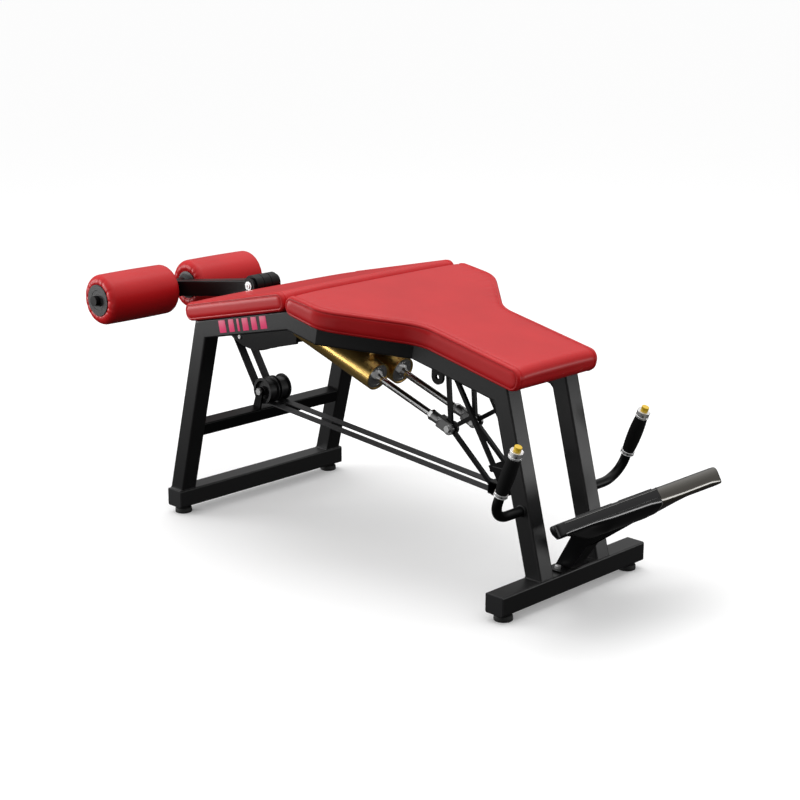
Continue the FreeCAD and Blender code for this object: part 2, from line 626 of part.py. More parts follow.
def cylinders():
    """The two resistance cylinders, each with its rod, clevis and clevis bolt, drawn from the clevis pin."""
    direction = V(CYLINDER_PIVOT[0] - CLEVIS[0], 0, CYLINDER_PIVOT[1] - CLEVIS[1]).normalize()
    up = V(direction.z, 0, -direction.x)
    clevis_length = 66.0
    eye_r = 17.0
    tine = 7.0
    slot_half = ROCKER_BAR_THICK / 2 + 1
    fork_outer = slot_half + tine
    to_front = (CYLINDER_FRONT_X - CLEVIS[0]) / direction.x
    to_pivot = math.dist(CLEVIS, CYLINDER_PIVOT)
    rear_face = to_pivot - 52.0
    cap = 18.0
    for name, side in SIDES.items():
        start = point(CLEVIS, side * PLANE_Y)

        def turned(radius, begin, end):
            return Part.makeCylinder(radius, end - begin, start + direction * begin, direction)

        # Clevis: two tines round the rocker's eye and a socket for the rod's thread.
        fork = bar(clevis_length - 24, 2 * fork_outer, 2 * eye_r - 2, 3.0)
        fork = placed(fork, start, direction, up)
        eye = rod(CLEVIS, side * PLANE_Y - fork_outer, side * PLANE_Y + fork_outer, eye_r)
        fork = fused([fork, eye, turned(14.0, clevis_length - 26, clevis_length)])
        slot = bar(2 * eye_r + 14, 2 * slot_half, 3 * eye_r, 0)
        slot.translate(V(-eye_r - 10, 0, 0))
        fork = fork.cut(placed(slot, start, direction, up))
        middle = side * PLANE_Y
        hole = rod(CLEVIS, middle - fork_outer - 2, middle + fork_outer + 2, PIN_R)
        fork = fork.cut(hole).cut(turned(ROD_R, clevis_length - 22, clevis_length + 1))
        save(f"clevis_{name}", fork)

        # Bolt: a hexagon head on the right, a round nut on the left, each with its own end of the shank.
        head = fused([rod(CLEVIS, middle - fork_outer, middle - slot_half, PIN_R),
                      hexagon(point(CLEVIS, middle - fork_outer), 9.5, 6.0, Y_AXIS * -1)])
        nut = fused([rod(CLEVIS, middle + slot_half, middle + fork_outer, PIN_R),
                     rod(CLEVIS, middle + fork_outer, middle + fork_outer + 6, 10.0)])
        save(f"clevis_bolt_{name}", head, nut)

        # Rod with its lock nut and piston.
        piston_at = to_front + 40
        shaft = turned(ROD_R, clevis_length - 22, piston_at)
        piston = turned(CYLINDER_BORE_R - RUNNING, piston_at, piston_at + 20)
        lock_nut = hexagon(start + direction * clevis_length, 15.0, 9.0, direction)
        save(f"piston_rod_{name}", fused([shaft, piston, lock_nut]))

        # Barrel with a front cap and a rear cap that ends in a fork over the carrier plate.
        wall = turned(CYLINDER_R, to_front, rear_face).cut(turned(CYLINDER_BORE_R, to_front - 1, rear_face - cap))
        recess = 2.5
        front_cap = fused([turned(CYLINDER_BORE_R, to_front + recess, to_front + cap),
                           hexagon(start + direction * (to_front - 5), 17.0, 9.0, direction),
                           turned(13.5, to_front - 11, to_front)])
        save(f"cylinder_cap_{name}", front_cap.cut(turned(ROD_R + RUNNING, to_front - 12, to_front + cap + 1)))
        neck_gap = CARRIER_THICK / 2 + 0.8
        neck = bar(to_pivot - rear_face, 2 * (neck_gap + 7), 28.0, 2.0)
        neck = placed(neck, start + direction * rear_face, direction, up)
        eye = rod(CYLINDER_PIVOT, side * PLANE_Y - neck_gap - 7, side * PLANE_Y + neck_gap + 7, 14.0)
        gap = bar(80.0, 2 * neck_gap, 60.0, 0)
        gap = placed(gap, start + direction * (rear_face + 10), direction, up)
        save(f"cylinder_{name}", fused([wall, fused([neck, eye]).cut(gap)]))


# ---------------------------------------------------------------- pads

def pad_and_board(half_outline, half_inset, slope, z_at, thick, taper=0.0):
    """A cushion over its board, lying on the rails along one slope, square to them at its edges.

    The outlines are (x, half width) pairs of the left half: the cushion's at its top, the board's at its foot.
    """
    along_slope = V(1, 0, slope).normalize()
    normal = upright(slope)
    x0 = half_outline[0][0]
    origin = V(x0, 0, z_at(x0)) + normal * (TUBE / 2)

    def blank(outline, height, lean):
        left = [((x - x0) * math.hypot(1, slope) + lean, y) for x, y in outline]
        right = [(u, -y) for u, y in reversed(left)]
        corners = [V(u, y, 0) for u, y in left + right]
        return Part.Face(Part.makePolygon(corners + corners[:1])).extrude(V(0, 0, height))

    cushion = blank(half_outline, thick + abs(taper), (thick + TUBE / 2) * slope)
    if taper:
        length = cushion.BoundBox.XLength
        wedge_normal = V(-taper / length, 0, 1)
        cushion = cushion.cut(beyond(V(cushion.BoundBox.XMin, 0, thick), wedge_normal))
    ends = [e for e in cushion.Edges if abs(e.tangentAt(e.FirstParameter).y) > 0.99]
    cushion = cushion.makeFillet(PAD_END_R, ends)
    board = blank(half_inset, BOARD_THICK, 0.0)
    cushion = cushion.cut(board)
    return placed(cushion, origin, along_slope, normal), placed(board, origin, along_slope, normal)


def pads():
    rear_x, front_x = REAR_PAD_X
    inset = BOARD_INSET
    rear_outline = [(rear_x, PAD_HALF), (front_x, PAD_HALF)]
    rear_inset = [(rear_x + 2 * inset, PAD_HALF - inset), (front_x - inset, PAD_HALF - inset)]
    rear, rear_board = pad_and_board(rear_outline, rear_inset, REAR_SLOPE, rear_plane_z, REAR_PAD_THICK)

    rear_x, front_x = FRONT_PAD_X
    wide = FRONT_PAD_WIDE_HALF
    narrow = FRONT_PAD_NARROW_HALF
    front_outline = [(rear_x, wide), (FRONT_PAD_WIDE_X, wide), (FRONT_PAD_NARROW_X, narrow), (front_x, narrow)]
    front_inset = [(rear_x + inset, wide - inset), (FRONT_PAD_WIDE_X - 12, wide - inset),
                   (FRONT_PAD_NARROW_X - 12, narrow - inset), (front_x - 2 * inset, narrow - inset)]
    front, front_board = pad_and_board(front_outline, front_inset, FRONT_SLOPE, front_plane_z, FRONT_PAD_THICK,
                                       FRONT_PAD_TAPER)
    save("rear_pad", rear)
    save("front_pad", front)
    save("pad_boards", rear_board, front_board)


# ---------------------------------------------------------------- handles

def handles():
    lean = math.radians(GRIP_LEAN_DEG)
    grip_axis = V(math.sin(lean), 0, math.cos(lean))
    leg_face = NARROW_Y + TUBE / 2
    tubes = []
    grips = []
    collars = []
    for name, side in SIDES.items():
        corner = V(HANDLE_FOOT[0], side * HANDLE_Y, HANDLE_FOOT[1])
        outward = Y_AXIS * side
        begin = V(HANDLE_FOOT[0], side * leg_face, HANDLE_FOOT[1])
        bend_start = corner - outward * HANDLE_BEND_R
        bend_end = corner + grip_axis * HANDLE_BEND_R
        reach = HANDLE_BEND_R * (math.sqrt(2) - 1)
        bend_middle = corner + (grip_axis - outward).normalize() * reach
        top = corner + grip_axis * (COLLAR_START + COLLAR_HEIGHT + GRIP_LENGTH + 4)
        path = Part.Wire([Part.LineSegment(begin, bend_start).toShape(),
                          Part.Arc(bend_start, bend_middle, bend_end).toShape(),
                          Part.LineSegment(bend_end, top).toShape()])

        def swept(radius):
            circle = Part.Wire(Part.makeCircle(radius, begin, outward))
            return path.makePipeShell([circle], True, False)

        tubes.append(swept(HANDLE_TUBE_R).cut(swept(HANDLE_TUBE_R - HANDLE_WALL)))

        def turned(outer, inner, low, high):
            body = Part.makeCylinder(outer, high - low, corner + grip_axis * low, grip_axis)
            return body.cut(Part.makeCylinder(inner, high - low + 2, corner + grip_axis * (low - 1), grip_axis))

        grip_low = COLLAR_START + COLLAR_HEIGHT
        grip_high = grip_low + GRIP_LENGTH
        collars.append(turned(LOW_COLLAR_R, HANDLE_TUBE_R, COLLAR_START, grip_low))
        grips.append(turned(GRIP_R, HANDLE_TUBE_R, grip_low, grip_high))
        cup = fused([turned(TOP_COLLAR_R, HANDLE_TUBE_R, grip_high, grip_high + 4),
                     turned(TOP_COLLAR_R, BUTTON_R + 0.1, grip_high + 4, grip_high + TOP_COLLAR_HEIGHT)])
        collars.append(cup)
        face = grip_high + TOP_COLLAR_HEIGHT
        button = Part.makeCylinder(BUTTON_R, BUTTON_PROUD + 6, corner + grip_axis * (face - 6), grip_axis)
        rim = [e for e in button.Edges if isinstance(e.Curve, Part.Circle)
               and (e.Curve.Center - corner).dot(grip_axis) > face]
        save(f"button_{name}", button.makeFillet(1.5, rim))
    save("handle_tubes", *tubes)
    save("handle_grips", *grips)
    save("handle_collars", *collars)


# ---------------------------------------------------------------- rest stop and display

def rest_stop(tip_front):
    """An arm on the right front leg with a rubber block that the rocker's front bar leans on at rest."""
    leg_inner = NARROW_Y - TUBE / 2
    bar_run = V(tip_front[0] - ROCKER[0], 0, tip_front[1] - ROCKER[1]).normalize()
    away = V(-bar_run.z, 0, bar_run.x)
    touch = along(ROCKER, tip_front, 306.0)
    face = V(touch[0], -PLANE_Y, touch[1]) + away * (ROCKER_BAR / 2 + SKIN_GAP)
    block_length = 14.0
    plate_thick = 6.0
    block = Part.makeCylinder(8.5, block_length, face, away)
    plate_width = leg_inner - PLANE_Y + 12.0
    cross = placed(bar(plate_thick, plate_width, 18.0, 0), face + away * block_length, away, bar_run * -1)
    cross.translate(V(0, PLANE_Y - leg_inner + plate_width / 2, 0))
    top = face.z + away.z * block_length + 8.0
    leg_x = FRONT_BASE_X + (FRONT_CORNER[0] - FRONT_BASE_X) * (top - BASE_TOP) / (FRONT_CORNER[1] - BASE_TOP)
    arm_x = face.x + away.x * block_length
    arm = Part.makeBox(leg_x + 15 - arm_x, plate_thick, 14.0, V(arm_x, -leg_inner, top - 14))
    save("rest_stop", fused([arm, cross]))
    save("rest_bumper", block)


def display():
    """A tilted console in front of the legs: flat face up, straight rim forward, its back a flat arc."""
    tilt = math.radians(DISPLAY_TILT_DEG)
    forward = V(math.cos(tilt), 0, math.sin(tilt))
    out = V(-math.sin(tilt), 0, math.cos(tilt))
    rim_top = point(DISPLAY_RIM_TOP, 0)
    depth = DISPLAY_DEPTH
    half = DISPLAY_HALF

    def local(u, w):
        place = rim_top + forward * u + out * w
        return (place.x, place.z)

    side = [local(0, 0), local(-depth, 0), local(-depth, -22.0), local(-depth * 0.8, -DISPLAY_BELLY),
            local(-30.0, -DISPLAY_BELLY), local(0, -DISPLAY_RIM)]
    across = [(-half, 0.0), (-half, -DISPLAY_WING), (-250.0, -DISPLAY_WING), (-190.0, -DISPLAY_BELLY),
              (20.0, -DISPLAY_BELLY), (95.0, -DISPLAY_RIM), (half, -DISPLAY_RIM), (half, 0.0)]
    front_view = Part.Face(Part.makePolygon([V(0, y, w) for y, w in across + across[:1]])).extrude(V(depth + 60, 0, 0))
    body = plate(side, -half - 20, half + 20)
    body = body.common(placed(front_view, rim_top - forward * (depth + 30), forward, out))
    body = body.common(placed(display_plan(), rim_top - out * 100, forward, out))
    left_of_split = Part.makeBox(BIG, BIG, BIG, V(-BIG / 2, DISPLAY_SPLIT_Y, -BIG / 2))
    save("display_housing", body.cut(left_of_split))
    save("display_end_cover", body.common(left_of_split))

    # Folded bracket: foot on the front base bar, channel leaning forward under the housing.
    foot = Part.makeBox(50.0, 112.0, 5.0, V(-55.0, -56.0, BASE_TOP))
    bolt_places = [V(-30.0, y, BASE_TOP) for y in (-38.0, 38.0)]
    for place in bolt_places:
        foot = foot.cut(Part.makeCylinder(4.5, 5, place))
    seat = [local(-depth * 0.78, -DISPLAY_BELLY), local(-depth * 0.35, -DISPLAY_BELLY)]
    foot_top = BASE_TOP + 5
    channel = plate([(-50.0, foot_top), (-2.0, foot_top), (46.0, 148.0), seat[1], seat[0], (2.0, 172.0)], -24.0, 24.0)
    hollow = plate([(-44.0, foot_top), (-8.0, foot_top), (30.0, 140.0), (70.0, 160.0), seat[1], seat[0],
                    (10.0, 165.0)], -20.0, 20.0)
    save("display_bracket", fused([foot, channel.cut(hollow).cut(body)]))
    bolts = []
    for place in bolt_places:
        head = hexagon(place + Z_AXIS * 5, 8.5, 6.0, Z_AXIS)
        bolts.append(fused([Part.makeCylinder(4.5, 5, place), head]))
    save("display_bolts", *bolts)


def display_plan():
    """The display's outline in its own plane, local x forward: a straight rim and an arc behind it."""
    half = DISPLAY_HALF
    depth = DISPLAY_DEPTH
    nose = 14.0
    shoulder = 26.0
    points = [
        (V(0, -half + nose, 0), V(-nose * 0.3, -half + nose * 0.3, 0), V(-nose, -half, 0)),
        (V(-shoulder, -half, 0), V(-depth, 0, 0), V(-shoulder, half, 0)),
        (V(-nose, half, 0), V(-nose * 0.3, half - nose * 0.3, 0), V(0, half - nose, 0)),
    ]
    edges = []
    for index, arc in enumerate(points):
        edges.append(Part.Arc(*arc).toShape())
        following = points[(index + 1) % len(points)][0]
        edges.append(Part.LineSegment(arc[2], following).toShape())
    return Part.Face(Part.Wire(edges)).extrude(V(0, 0, 160))


def main():
    os.makedirs("parts", exist_ok=True)
    base()
    side_frames()
    knee_at, knee_bar, rear_up = cross_bars()
    carriers(knee_at, knee_bar, rear_up)
    lever()
    idlers()
    leave = belts()
    rocker(leave)
    cylinders()
    pads()
    handles()
    display()


main()
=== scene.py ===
import json
import math

import bmesh
import bpy
import numpy as np
from mathutils import Matrix, Vector


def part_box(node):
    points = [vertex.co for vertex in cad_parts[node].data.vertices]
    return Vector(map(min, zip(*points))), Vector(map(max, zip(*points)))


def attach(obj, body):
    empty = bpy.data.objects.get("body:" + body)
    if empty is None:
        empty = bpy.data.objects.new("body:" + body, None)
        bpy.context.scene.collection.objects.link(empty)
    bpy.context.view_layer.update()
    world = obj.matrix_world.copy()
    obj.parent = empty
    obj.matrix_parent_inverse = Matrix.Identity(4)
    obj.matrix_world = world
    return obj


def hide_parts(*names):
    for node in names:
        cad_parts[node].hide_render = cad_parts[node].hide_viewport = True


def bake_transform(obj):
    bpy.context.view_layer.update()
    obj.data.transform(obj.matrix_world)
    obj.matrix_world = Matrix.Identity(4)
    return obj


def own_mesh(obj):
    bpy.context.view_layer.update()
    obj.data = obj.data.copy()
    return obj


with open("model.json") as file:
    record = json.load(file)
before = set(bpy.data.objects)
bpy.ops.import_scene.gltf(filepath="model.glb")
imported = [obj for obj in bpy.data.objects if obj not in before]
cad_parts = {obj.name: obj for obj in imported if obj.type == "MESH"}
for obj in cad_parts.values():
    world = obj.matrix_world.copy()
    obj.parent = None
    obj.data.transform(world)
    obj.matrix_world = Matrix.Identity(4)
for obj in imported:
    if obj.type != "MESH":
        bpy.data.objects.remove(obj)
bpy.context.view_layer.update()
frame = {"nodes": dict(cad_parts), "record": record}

# Side view stations (x, z) as in the CAD, in metres; x runs from the front face of the front base bar, and
# ORIGIN_SHIFT takes it to the shared frame
ORIGIN_SHIFT = 0.7162
TUBE = 0.0508
REAR_CORNER = (-1.0827, 0.5580)
APEX = (-0.7280, 0.6388)
FRONT_CORNER = (-0.1457, 0.5213)
FRAME_OUTER_Y = 0.3066
KNEE = (-1.1754, 0.6283)
CAM_RIM_R = 0.165
BELT_THICK = 0.003
BELT_START_DEG = 213.3
CAM_START_DEG = 200.0
BELT_WIDTH = 0.028
BELT_Y = 0.022
IDLER = (-1.138, 0.324)
IDLER_GROOVE_R = 0.032
BELT_TIP = (-0.248, 0.222)
ROLLER = (-1.5714, 0.5625)
ROLLER_R = 0.074
ROLLER_SPAN = (0.038, 0.290)
ROLLER_SHOULDER_R = 0.021
ROLLER_DISC_R = 0.045
PLEATS = 15
PLEAT_DEPTH = 0.0025
PLEAT_WIDTH_RAD = 0.075
REAR_PAD_X = (-1.128, -0.727)
REAR_PAD_THICK = 0.051
REAR_PAD_HALF = 0.327
FRONT_PAD_X = (-0.707, -0.070)
FRONT_PAD_THICK = 0.052
FRONT_PAD_TAPER = 0.009
FRONT_PAD_TAPER_REACH = 0.12
FRONT_PAD_BENDS = (-0.5895, -0.4065)
FRONT_PAD_HALVES = (0.330, 0.155)
REAR_PAD_END_R = 0.022
FRONT_PAD_END_R = 0.026
CAM_FLANGE_Y = 0.0405
CAM_BOLT = (-1.231, 0.4687)
CYLINDER_Y = 0.0465
CYLINDER_PIVOT = (-1.000, 0.567)
CYLINDER_R = 0.039
CLEVIS = (-0.3885, 0.368)
CYLINDER_FRONT_X = -0.656
CAP_RECESS = 0.0025
CAP_FACE_R = 0.0352
CAP_FACE_REACH = (CLEVIS[0] - CYLINDER_FRONT_X) * math.dist(CLEVIS, CYLINDER_PIVOT) / (
    CLEVIS[0] - CYLINDER_PIVOT[0]) + CAP_RECESS
HANDLE_FOOT = (-0.0715, 0.240)
HANDLE_Y = 0.246
GRIP_LEAN_DEG = 21.8
GRIP_START = 0.087
GRIP_LENGTH = 0.103
GRIP_END_R = 0.0148
GRIP_SWELL = 0.0036
HANDLE_WELD_Y = 0.1362
HANDLE_WELD_R = 0.0135
DISPLAY_RIM_TOP = (0.190, 0.317)
DISPLAY_TILT_DEG = 30.0
DISPLAY_DEPTH = 0.180
DISPLAY_HALF = 0.313
DISPLAY_SPLIT_Y = 0.058
DISPLAY_SHOULDER = 0.030
DISPLAY_CORNER_R = 0.015
FOOT_PLACES = {"rear": (-1.209, 0.283), "front": (-0.0285, 0.2436)}
LEG_PLACES = {"rear": (-1.209, 0.2812), "front": (-0.0287, 0.1103)}
BASE_TOP = 0.0724
BADGE_START_X = -1.000
BADGE_WIDTHS = (0.028, 0.022, 0.009, 0.024, 0.022, 0.026)
BADGE_GAP = 0.0125
BADGE_HEIGHT = 0.034
BADGE_THICK = 0.0006
BADGE_RISE = 0.002
BUMPER_AXIS = (0.8413, 0.0, 0.5405)  # square to the rocker bar that leans on the rest stop

# How far the console's rim and its belly reach down, as (y, depth) pairs
DISPLAY_RIM = ((-DISPLAY_HALF, 0.034), (-0.200, 0.034), (0.020, 0.038), (0.070, 0.044), (0.150, 0.046),
               (DISPLAY_HALF, 0.046))
DISPLAY_BELLY = ((-DISPLAY_HALF, 0.034), (-0.205, 0.034), (-0.175, 0.042), (-0.125, 0.058), (0.030, 0.060),
                 (0.110, 0.053), (0.180, 0.046), (DISPLAY_HALF, 0.047))

# Set screws and rings of the collars, as (distance along the grip's axis from the handle's corner, radius)
SET_SCREWS = ((0.0825, 0.0175), (0.200, 0.0165))
COLLAR_RINGS = ((0.0785, 0.0172), (0.0865, 0.0172), (0.1945, 0.0165), (0.2085, 0.0162))

# Camera: where it stands (its x is a station), which way it looks, and its lens
CAMERA_PLACE = (2.5279, -3.2020, 1.6176)
CAMERA_AZIMUTH_DEG = 44.51
CAMERA_ELEVATION_DEG = 15.30
CAMERA_ROLL_DEG = 0.12
CAMERA_LENS_MM = 77.92
CAMERA_SENSOR_MM = 36.0
CAMERA_CLIP = 500.0

# Floor and sky; a sky step is (height, brightness), its height from 0 straight down to 1 straight up
FLOOR_REACH = 200.0
FLOOR_GLOW = 0.13
FLOOR_ALBEDO = 0.88
SKY_STEPS = ((0.0, 0.02), (0.46, 0.04), (0.56, 0.16), (1.0, 1.45))

# Lamps: place, aim, size in metres, power in watts
LAMPS = {
    "overhead": ((-0.6, 0.6, 4.2), (0.0, 0.0, 0.3), (3.4, 3.4), 48.0),
    "near_side": ((-2.9, -2.1, 0.8), (-0.4, 0.0, 0.4), (1.8, 1.2), 54.0),
    "head_end": ((2.2, 1.5, 0.38), (0.65, 0.0, 0.3), (0.9, 0.36), 7.0),
    "low_side": ((0.1, -1.5, 0.12), (0.0, 0.0, 0.5), (2.2, 0.35), 3.0),
}

SIDES = {"right": -1, "left": 1}
X_AXIS = Vector((1, 0, 0))
Y_AXIS = Vector((0, 1, 0))
Z_AXIS = Vector((0, 0, 1))


# ---------------------------------------------------------------- placing

def station(xz, y=0.0):
    """A point of the shared frame from a side view station and a y."""
    return Vector((xz[0] + ORIGIN_SHIFT, y, xz[1]))


def polar(centre, radius, degrees):
    """A station on a circle round another."""
    angle = math.radians(degrees)
    return (centre[0] + radius * math.cos(angle), centre[1] + radius * math.sin(angle))


def basis(origin, x_axis, z_axis):
    """A matrix whose local X and Z lie along two square directions at an origin."""
    x = Vector(x_axis).normalized()
    z = Vector(z_axis).normalized()
    y = z.cross(x)
    return Matrix(((x.x, y.x, z.x, origin[0]),
                   (x.y, y.y, z.y, origin[1]),
                   (x.z, y.z, z.z, origin[2]),
                   (0, 0, 0, 1)))


def circle(centre, first, second, radius, count):
    """Points round a circle that starts in one direction and turns towards another, square to it."""
    angles = [2 * math.pi * k / count for k in range(count)]
    return [centre + (first * math.cos(a) + second * math.sin(a)) * radius for a in angles]


def rail_slope(start, end):
    """Rise over run between two stations."""
    return (end[1] - start[1]) / (end[0] - start[0])


# ---------------------------------------------------------------- materials

MATERIALS = {}
# Pieces drawn in a darker, duller copy of the frame paint: painted shade where they sit under the bench.
PAINTED_SHADE_NODES = ("carrier_plates", "cams", "lever_arm", "arm_hub", "roller_shaft", "rocker_frame",
                "rocker_brackets", "idler_brackets", "handle_tubes", "display_bracket", "rear_cross_bar",
                "knee_cross_bar", "pad_cross_bars", "rest_stop")
SLOT_OF = {
    "painted_shade_frame_paint": "frame_paint",
    "badge_paint_and_glow": "red_vinyl",
    "console_highlight_grey": "display_black",
    "brass_fitting": "gold_metal",
    "turned_steel": "grey_steel",
    "display_glass": "display_smoke",
    "display_marks": "display_smoke",
}


def principled(name, color, metallic, roughness, **sockets):
    """A material with one Principled shader, its constants set on its own sockets, kept under its name."""
    material = bpy.data.materials.new(f"{name}_finish")
    MATERIALS[name] = material
    material.use_nodes = True
    shader = material.node_tree.nodes["Principled BSDF"]
    shader.inputs["Base Color"].default_value = (*color, 1.0)
    shader.inputs["Metallic"].default_value = metallic
    shader.inputs["Roughness"].default_value = roughness
    for socket, value in sockets.items():
        shader.inputs[socket.replace("_", " ")].default_value = value
    return material


def add_bump(material, scale, strength, distance, kind="noise"):
    """Fine relief that follows the object: noise for powder coat and steel, cells for vinyl grain."""
    nodes = material.node_tree.nodes
    links = material.node_tree.links
    place = nodes.new("ShaderNodeTexCoord")
    if kind == "cells":
        texture = nodes.new("ShaderNodeTexVoronoi")
        height = texture.outputs["Distance"]
    else:
        texture = nodes.new("ShaderNodeTexNoise")
        texture.inputs["Detail"].default_value = 3.0
        height = texture.outputs["Fac"]
    texture.inputs["Scale"].default_value = scale
    bump = nodes.new("ShaderNodeBump")
    bump.inputs["Strength"].default_value = strength
    bump.inputs["Distance"].default_value = distance
    links.new(place.outputs["Object"], texture.inputs["Vector"])
    links.new(height, bump.inputs["Height"])
    links.new(bump.outputs["Normal"], nodes["Principled BSDF"].inputs["Normal"])
    return material


def add_mottle(material, dark, light, scale):
    """A base colour that drifts softly between two shades."""
    nodes = material.node_tree.nodes
    links = material.node_tree.links
    place = nodes.new("ShaderNodeTexCoord")
    noise = nodes.new("ShaderNodeTexNoise")
    noise.inputs["Scale"].default_value = scale
    noise.inputs["Detail"].default_value = 4.0
    ramp = nodes.new("ShaderNodeValToRGB")
    ramp.color_ramp.elements[0].position = 0.35
    ramp.color_ramp.elements[0].color = (*dark, 1.0)
    ramp.color_ramp.elements[1].position = 0.65
    ramp.color_ramp.elements[1].color = (*light, 1.0)
    links.new(place.outputs["Object"], noise.inputs["Vector"])
    links.new(noise.outputs["Fac"], ramp.inputs["Fac"])
    links.new(ramp.outputs["Color"], nodes["Principled BSDF"].inputs["Base Color"])
    return material


def make_materials():
    vinyl = principled("red_vinyl", (0.54, 0.007, 0.011), 0.0, 0.40, Specular_IOR_Level=0.30,
                       Coat_Weight=0.05, Coat_Roughness=0.2)
    add_mottle(vinyl, (0.51, 0.006, 0.009), (0.57, 0.009, 0.012), 6.0)
    add_bump(vinyl, 700.0, 0.10, 0.0006, "cells")
    paint = principled("frame_paint", (0.0085, 0.0085, 0.0088), 0.0, 0.38, Specular_IOR_Level=0.42)
    add_bump(paint, 900.0, 0.08, 0.0004)
    # Darker, duller copy of the frame paint: painted shade for the pieces under the bench.
    shade = principled("painted_shade_frame_paint", (0.0035, 0.0035, 0.0038), 0.0, 0.34, Specular_IOR_Level=0.20)
    add_bump(shade, 900.0, 0.06, 0.0004)
    zinc = principled("zinc", (0.88, 0.88, 0.88), 0.8, 0.30)
    add_bump(zinc, 300.0, 0.02, 0.0002)
    steel = principled("grey_steel", (0.24, 0.24, 0.24), 0.9, 0.34)
    add_bump(steel, 260.0, 0.10, 0.0004)
    gold = principled("gold_metal", (0.86, 0.56, 0.17), 0.88, 0.27)
    add_bump(gold, 60.0, 0.01, 0.0002)
    chrome = principled("chrome", (0.90, 0.90, 0.90), 1.0, 0.14)
    add_bump(chrome, 90.0, 0.004, 0.0001)
    turned = principled("turned_steel", (0.82, 0.82, 0.82), 1.0, 0.24)
    add_bump(turned, 200.0, 0.01, 0.0002)
    black = principled("black_plastic", (0.010, 0.010, 0.011), 0.0, 0.45)
    add_bump(black, 500.0, 0.08, 0.0004)
    foot = principled("foot_rubber", (0.012, 0.012, 0.012), 0.0, 0.70)
    add_bump(foot, 400.0, 0.15, 0.0005)
    belt = principled("belt_rubber", (0.016, 0.016, 0.018), 0.0, 0.55)
    add_bump(belt, 800.0, 0.20, 0.0004)
    foam = principled("grip_foam", (0.004, 0.004, 0.004), 0.0, 0.80, Specular_IOR_Level=0.2)
    add_bump(foam, 1400.0, 0.35, 0.0006, "cells")
    yellow = principled("yellow_plastic", (0.80, 0.52, 0.02), 0.0, 0.30, Coat_Weight=0.2)
    add_bump(yellow, 300.0, 0.03, 0.0003)
    housing = principled("display_black", (0.003, 0.003, 0.0035), 0.0, 0.16)
    add_bump(housing, 900.0, 0.04, 0.0003)
    smoke = principled("display_smoke", (0.050, 0.043, 0.031), 0.6, 0.22, Coat_Weight=1.0,
                       Coat_Roughness=0.05)
    add_bump(smoke, 20.0, 0.01, 0.0003)
    board = principled("board", (0.07, 0.05, 0.035), 0.0, 0.6)
    add_mottle(board, (0.05, 0.035, 0.022), (0.09, 0.065, 0.045), 30.0)
    # Grey for lines whose real finish is the black housing: painted highlights along the cover's joint and
    # the rim's top edge.
    highlight_grey = principled("console_highlight_grey", (0.20, 0.20, 0.19), 0.0, 0.3)
    add_bump(highlight_grey, 200.0, 0.02, 0.0002)
    brass = principled("brass_fitting", (0.80, 0.52, 0.18), 1.0, 0.25)
    add_bump(brass, 200.0, 0.02, 0.0003)
    # Pink badge paint with a faint emission: a painted glow, not a lamp.
    badge = principled("badge_paint_and_glow", (0.92, 0.055, 0.19), 0.0, 0.4, Emission_Color=(0.92, 0.05, 0.18, 1.0),
                       Emission_Strength=0.04)
    add_bump(badge, 500.0, 0.03, 0.0002)
    glass = principled("display_glass", (0.010, 0.013, 0.016), 0.0, 0.06, Coat_Weight=0.5)
    add_bump(glass, 15.0, 0.005, 0.0002)
    marks = principled("display_marks", (0.35, 0.37, 0.38), 0.0, 0.4)
    add_bump(marks, 300.0, 0.02, 0.0002)


def paint_cad_nodes():
    """Every CAD node gets its slot's finish, apart from the cylinder caps, the collars and the listed
    linkage and frame pieces, which get a darker copy of the frame paint as painted shade.
    """
    for part in frame["record"]["subparts"]:
        node = frame["nodes"][part["node"]]
        finish = part["material_slot"]
        # Painted shade: these pieces get the darker copy of the frame paint.
        if part["node"] in PAINTED_SHADE_NODES:
            finish = "painted_shade_frame_paint"
        if part["node"].startswith("cylinder_cap"):
            finish = "turned_steel"
        if part["node"] == "handle_collars":
            finish = "zinc"
        node.data.materials.clear()
        node.data.materials.append(MATERIALS[finish])


# ---------------------------------------------------------------- meshes

def link_piece(name, mesh, material, body):
    piece = bpy.data.objects.new(name, mesh)
    bpy.context.scene.collection.objects.link(piece)
    if body:
        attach(piece, body)
    SLOT_OF.get(material, material)
    return piece


def mesh_object(name, vertices, faces, material, body="root", smooth=True):
    """A piece from its vertices and faces."""
    mesh = bpy.data.meshes.new(name)
    mesh.from_pydata([tuple(v) for v in vertices], [], faces)
    mesh.materials.append(MATERIALS[material])
    mesh.validate()
    if smooth:
        mesh.shade_smooth()
    return link_piece(name, mesh, material, body)


def grid_faces(rows, columns, wrap_rows=False, wrap_columns=True):
    """Quads over a grid of vertices numbered row by row."""
    faces = []
    for r in range(rows if wrap_rows else rows - 1):
        for c in range(columns if wrap_columns else columns - 1):
            r2 = (r + 1) % rows
            c2 = (c + 1) % columns
            faces.append((r * columns + c, r * columns + c2, r2 * columns + c2, r2 * columns + c))
    return faces


def weld(piece, distance):
    """Join vertices that lie in one place."""
    build = bmesh.new()
    build.from_mesh(piece.data)
    bmesh.ops.remove_doubles(build, verts=build.verts[:], dist=distance)
    build.to_mesh(piece.data)
    build.free()


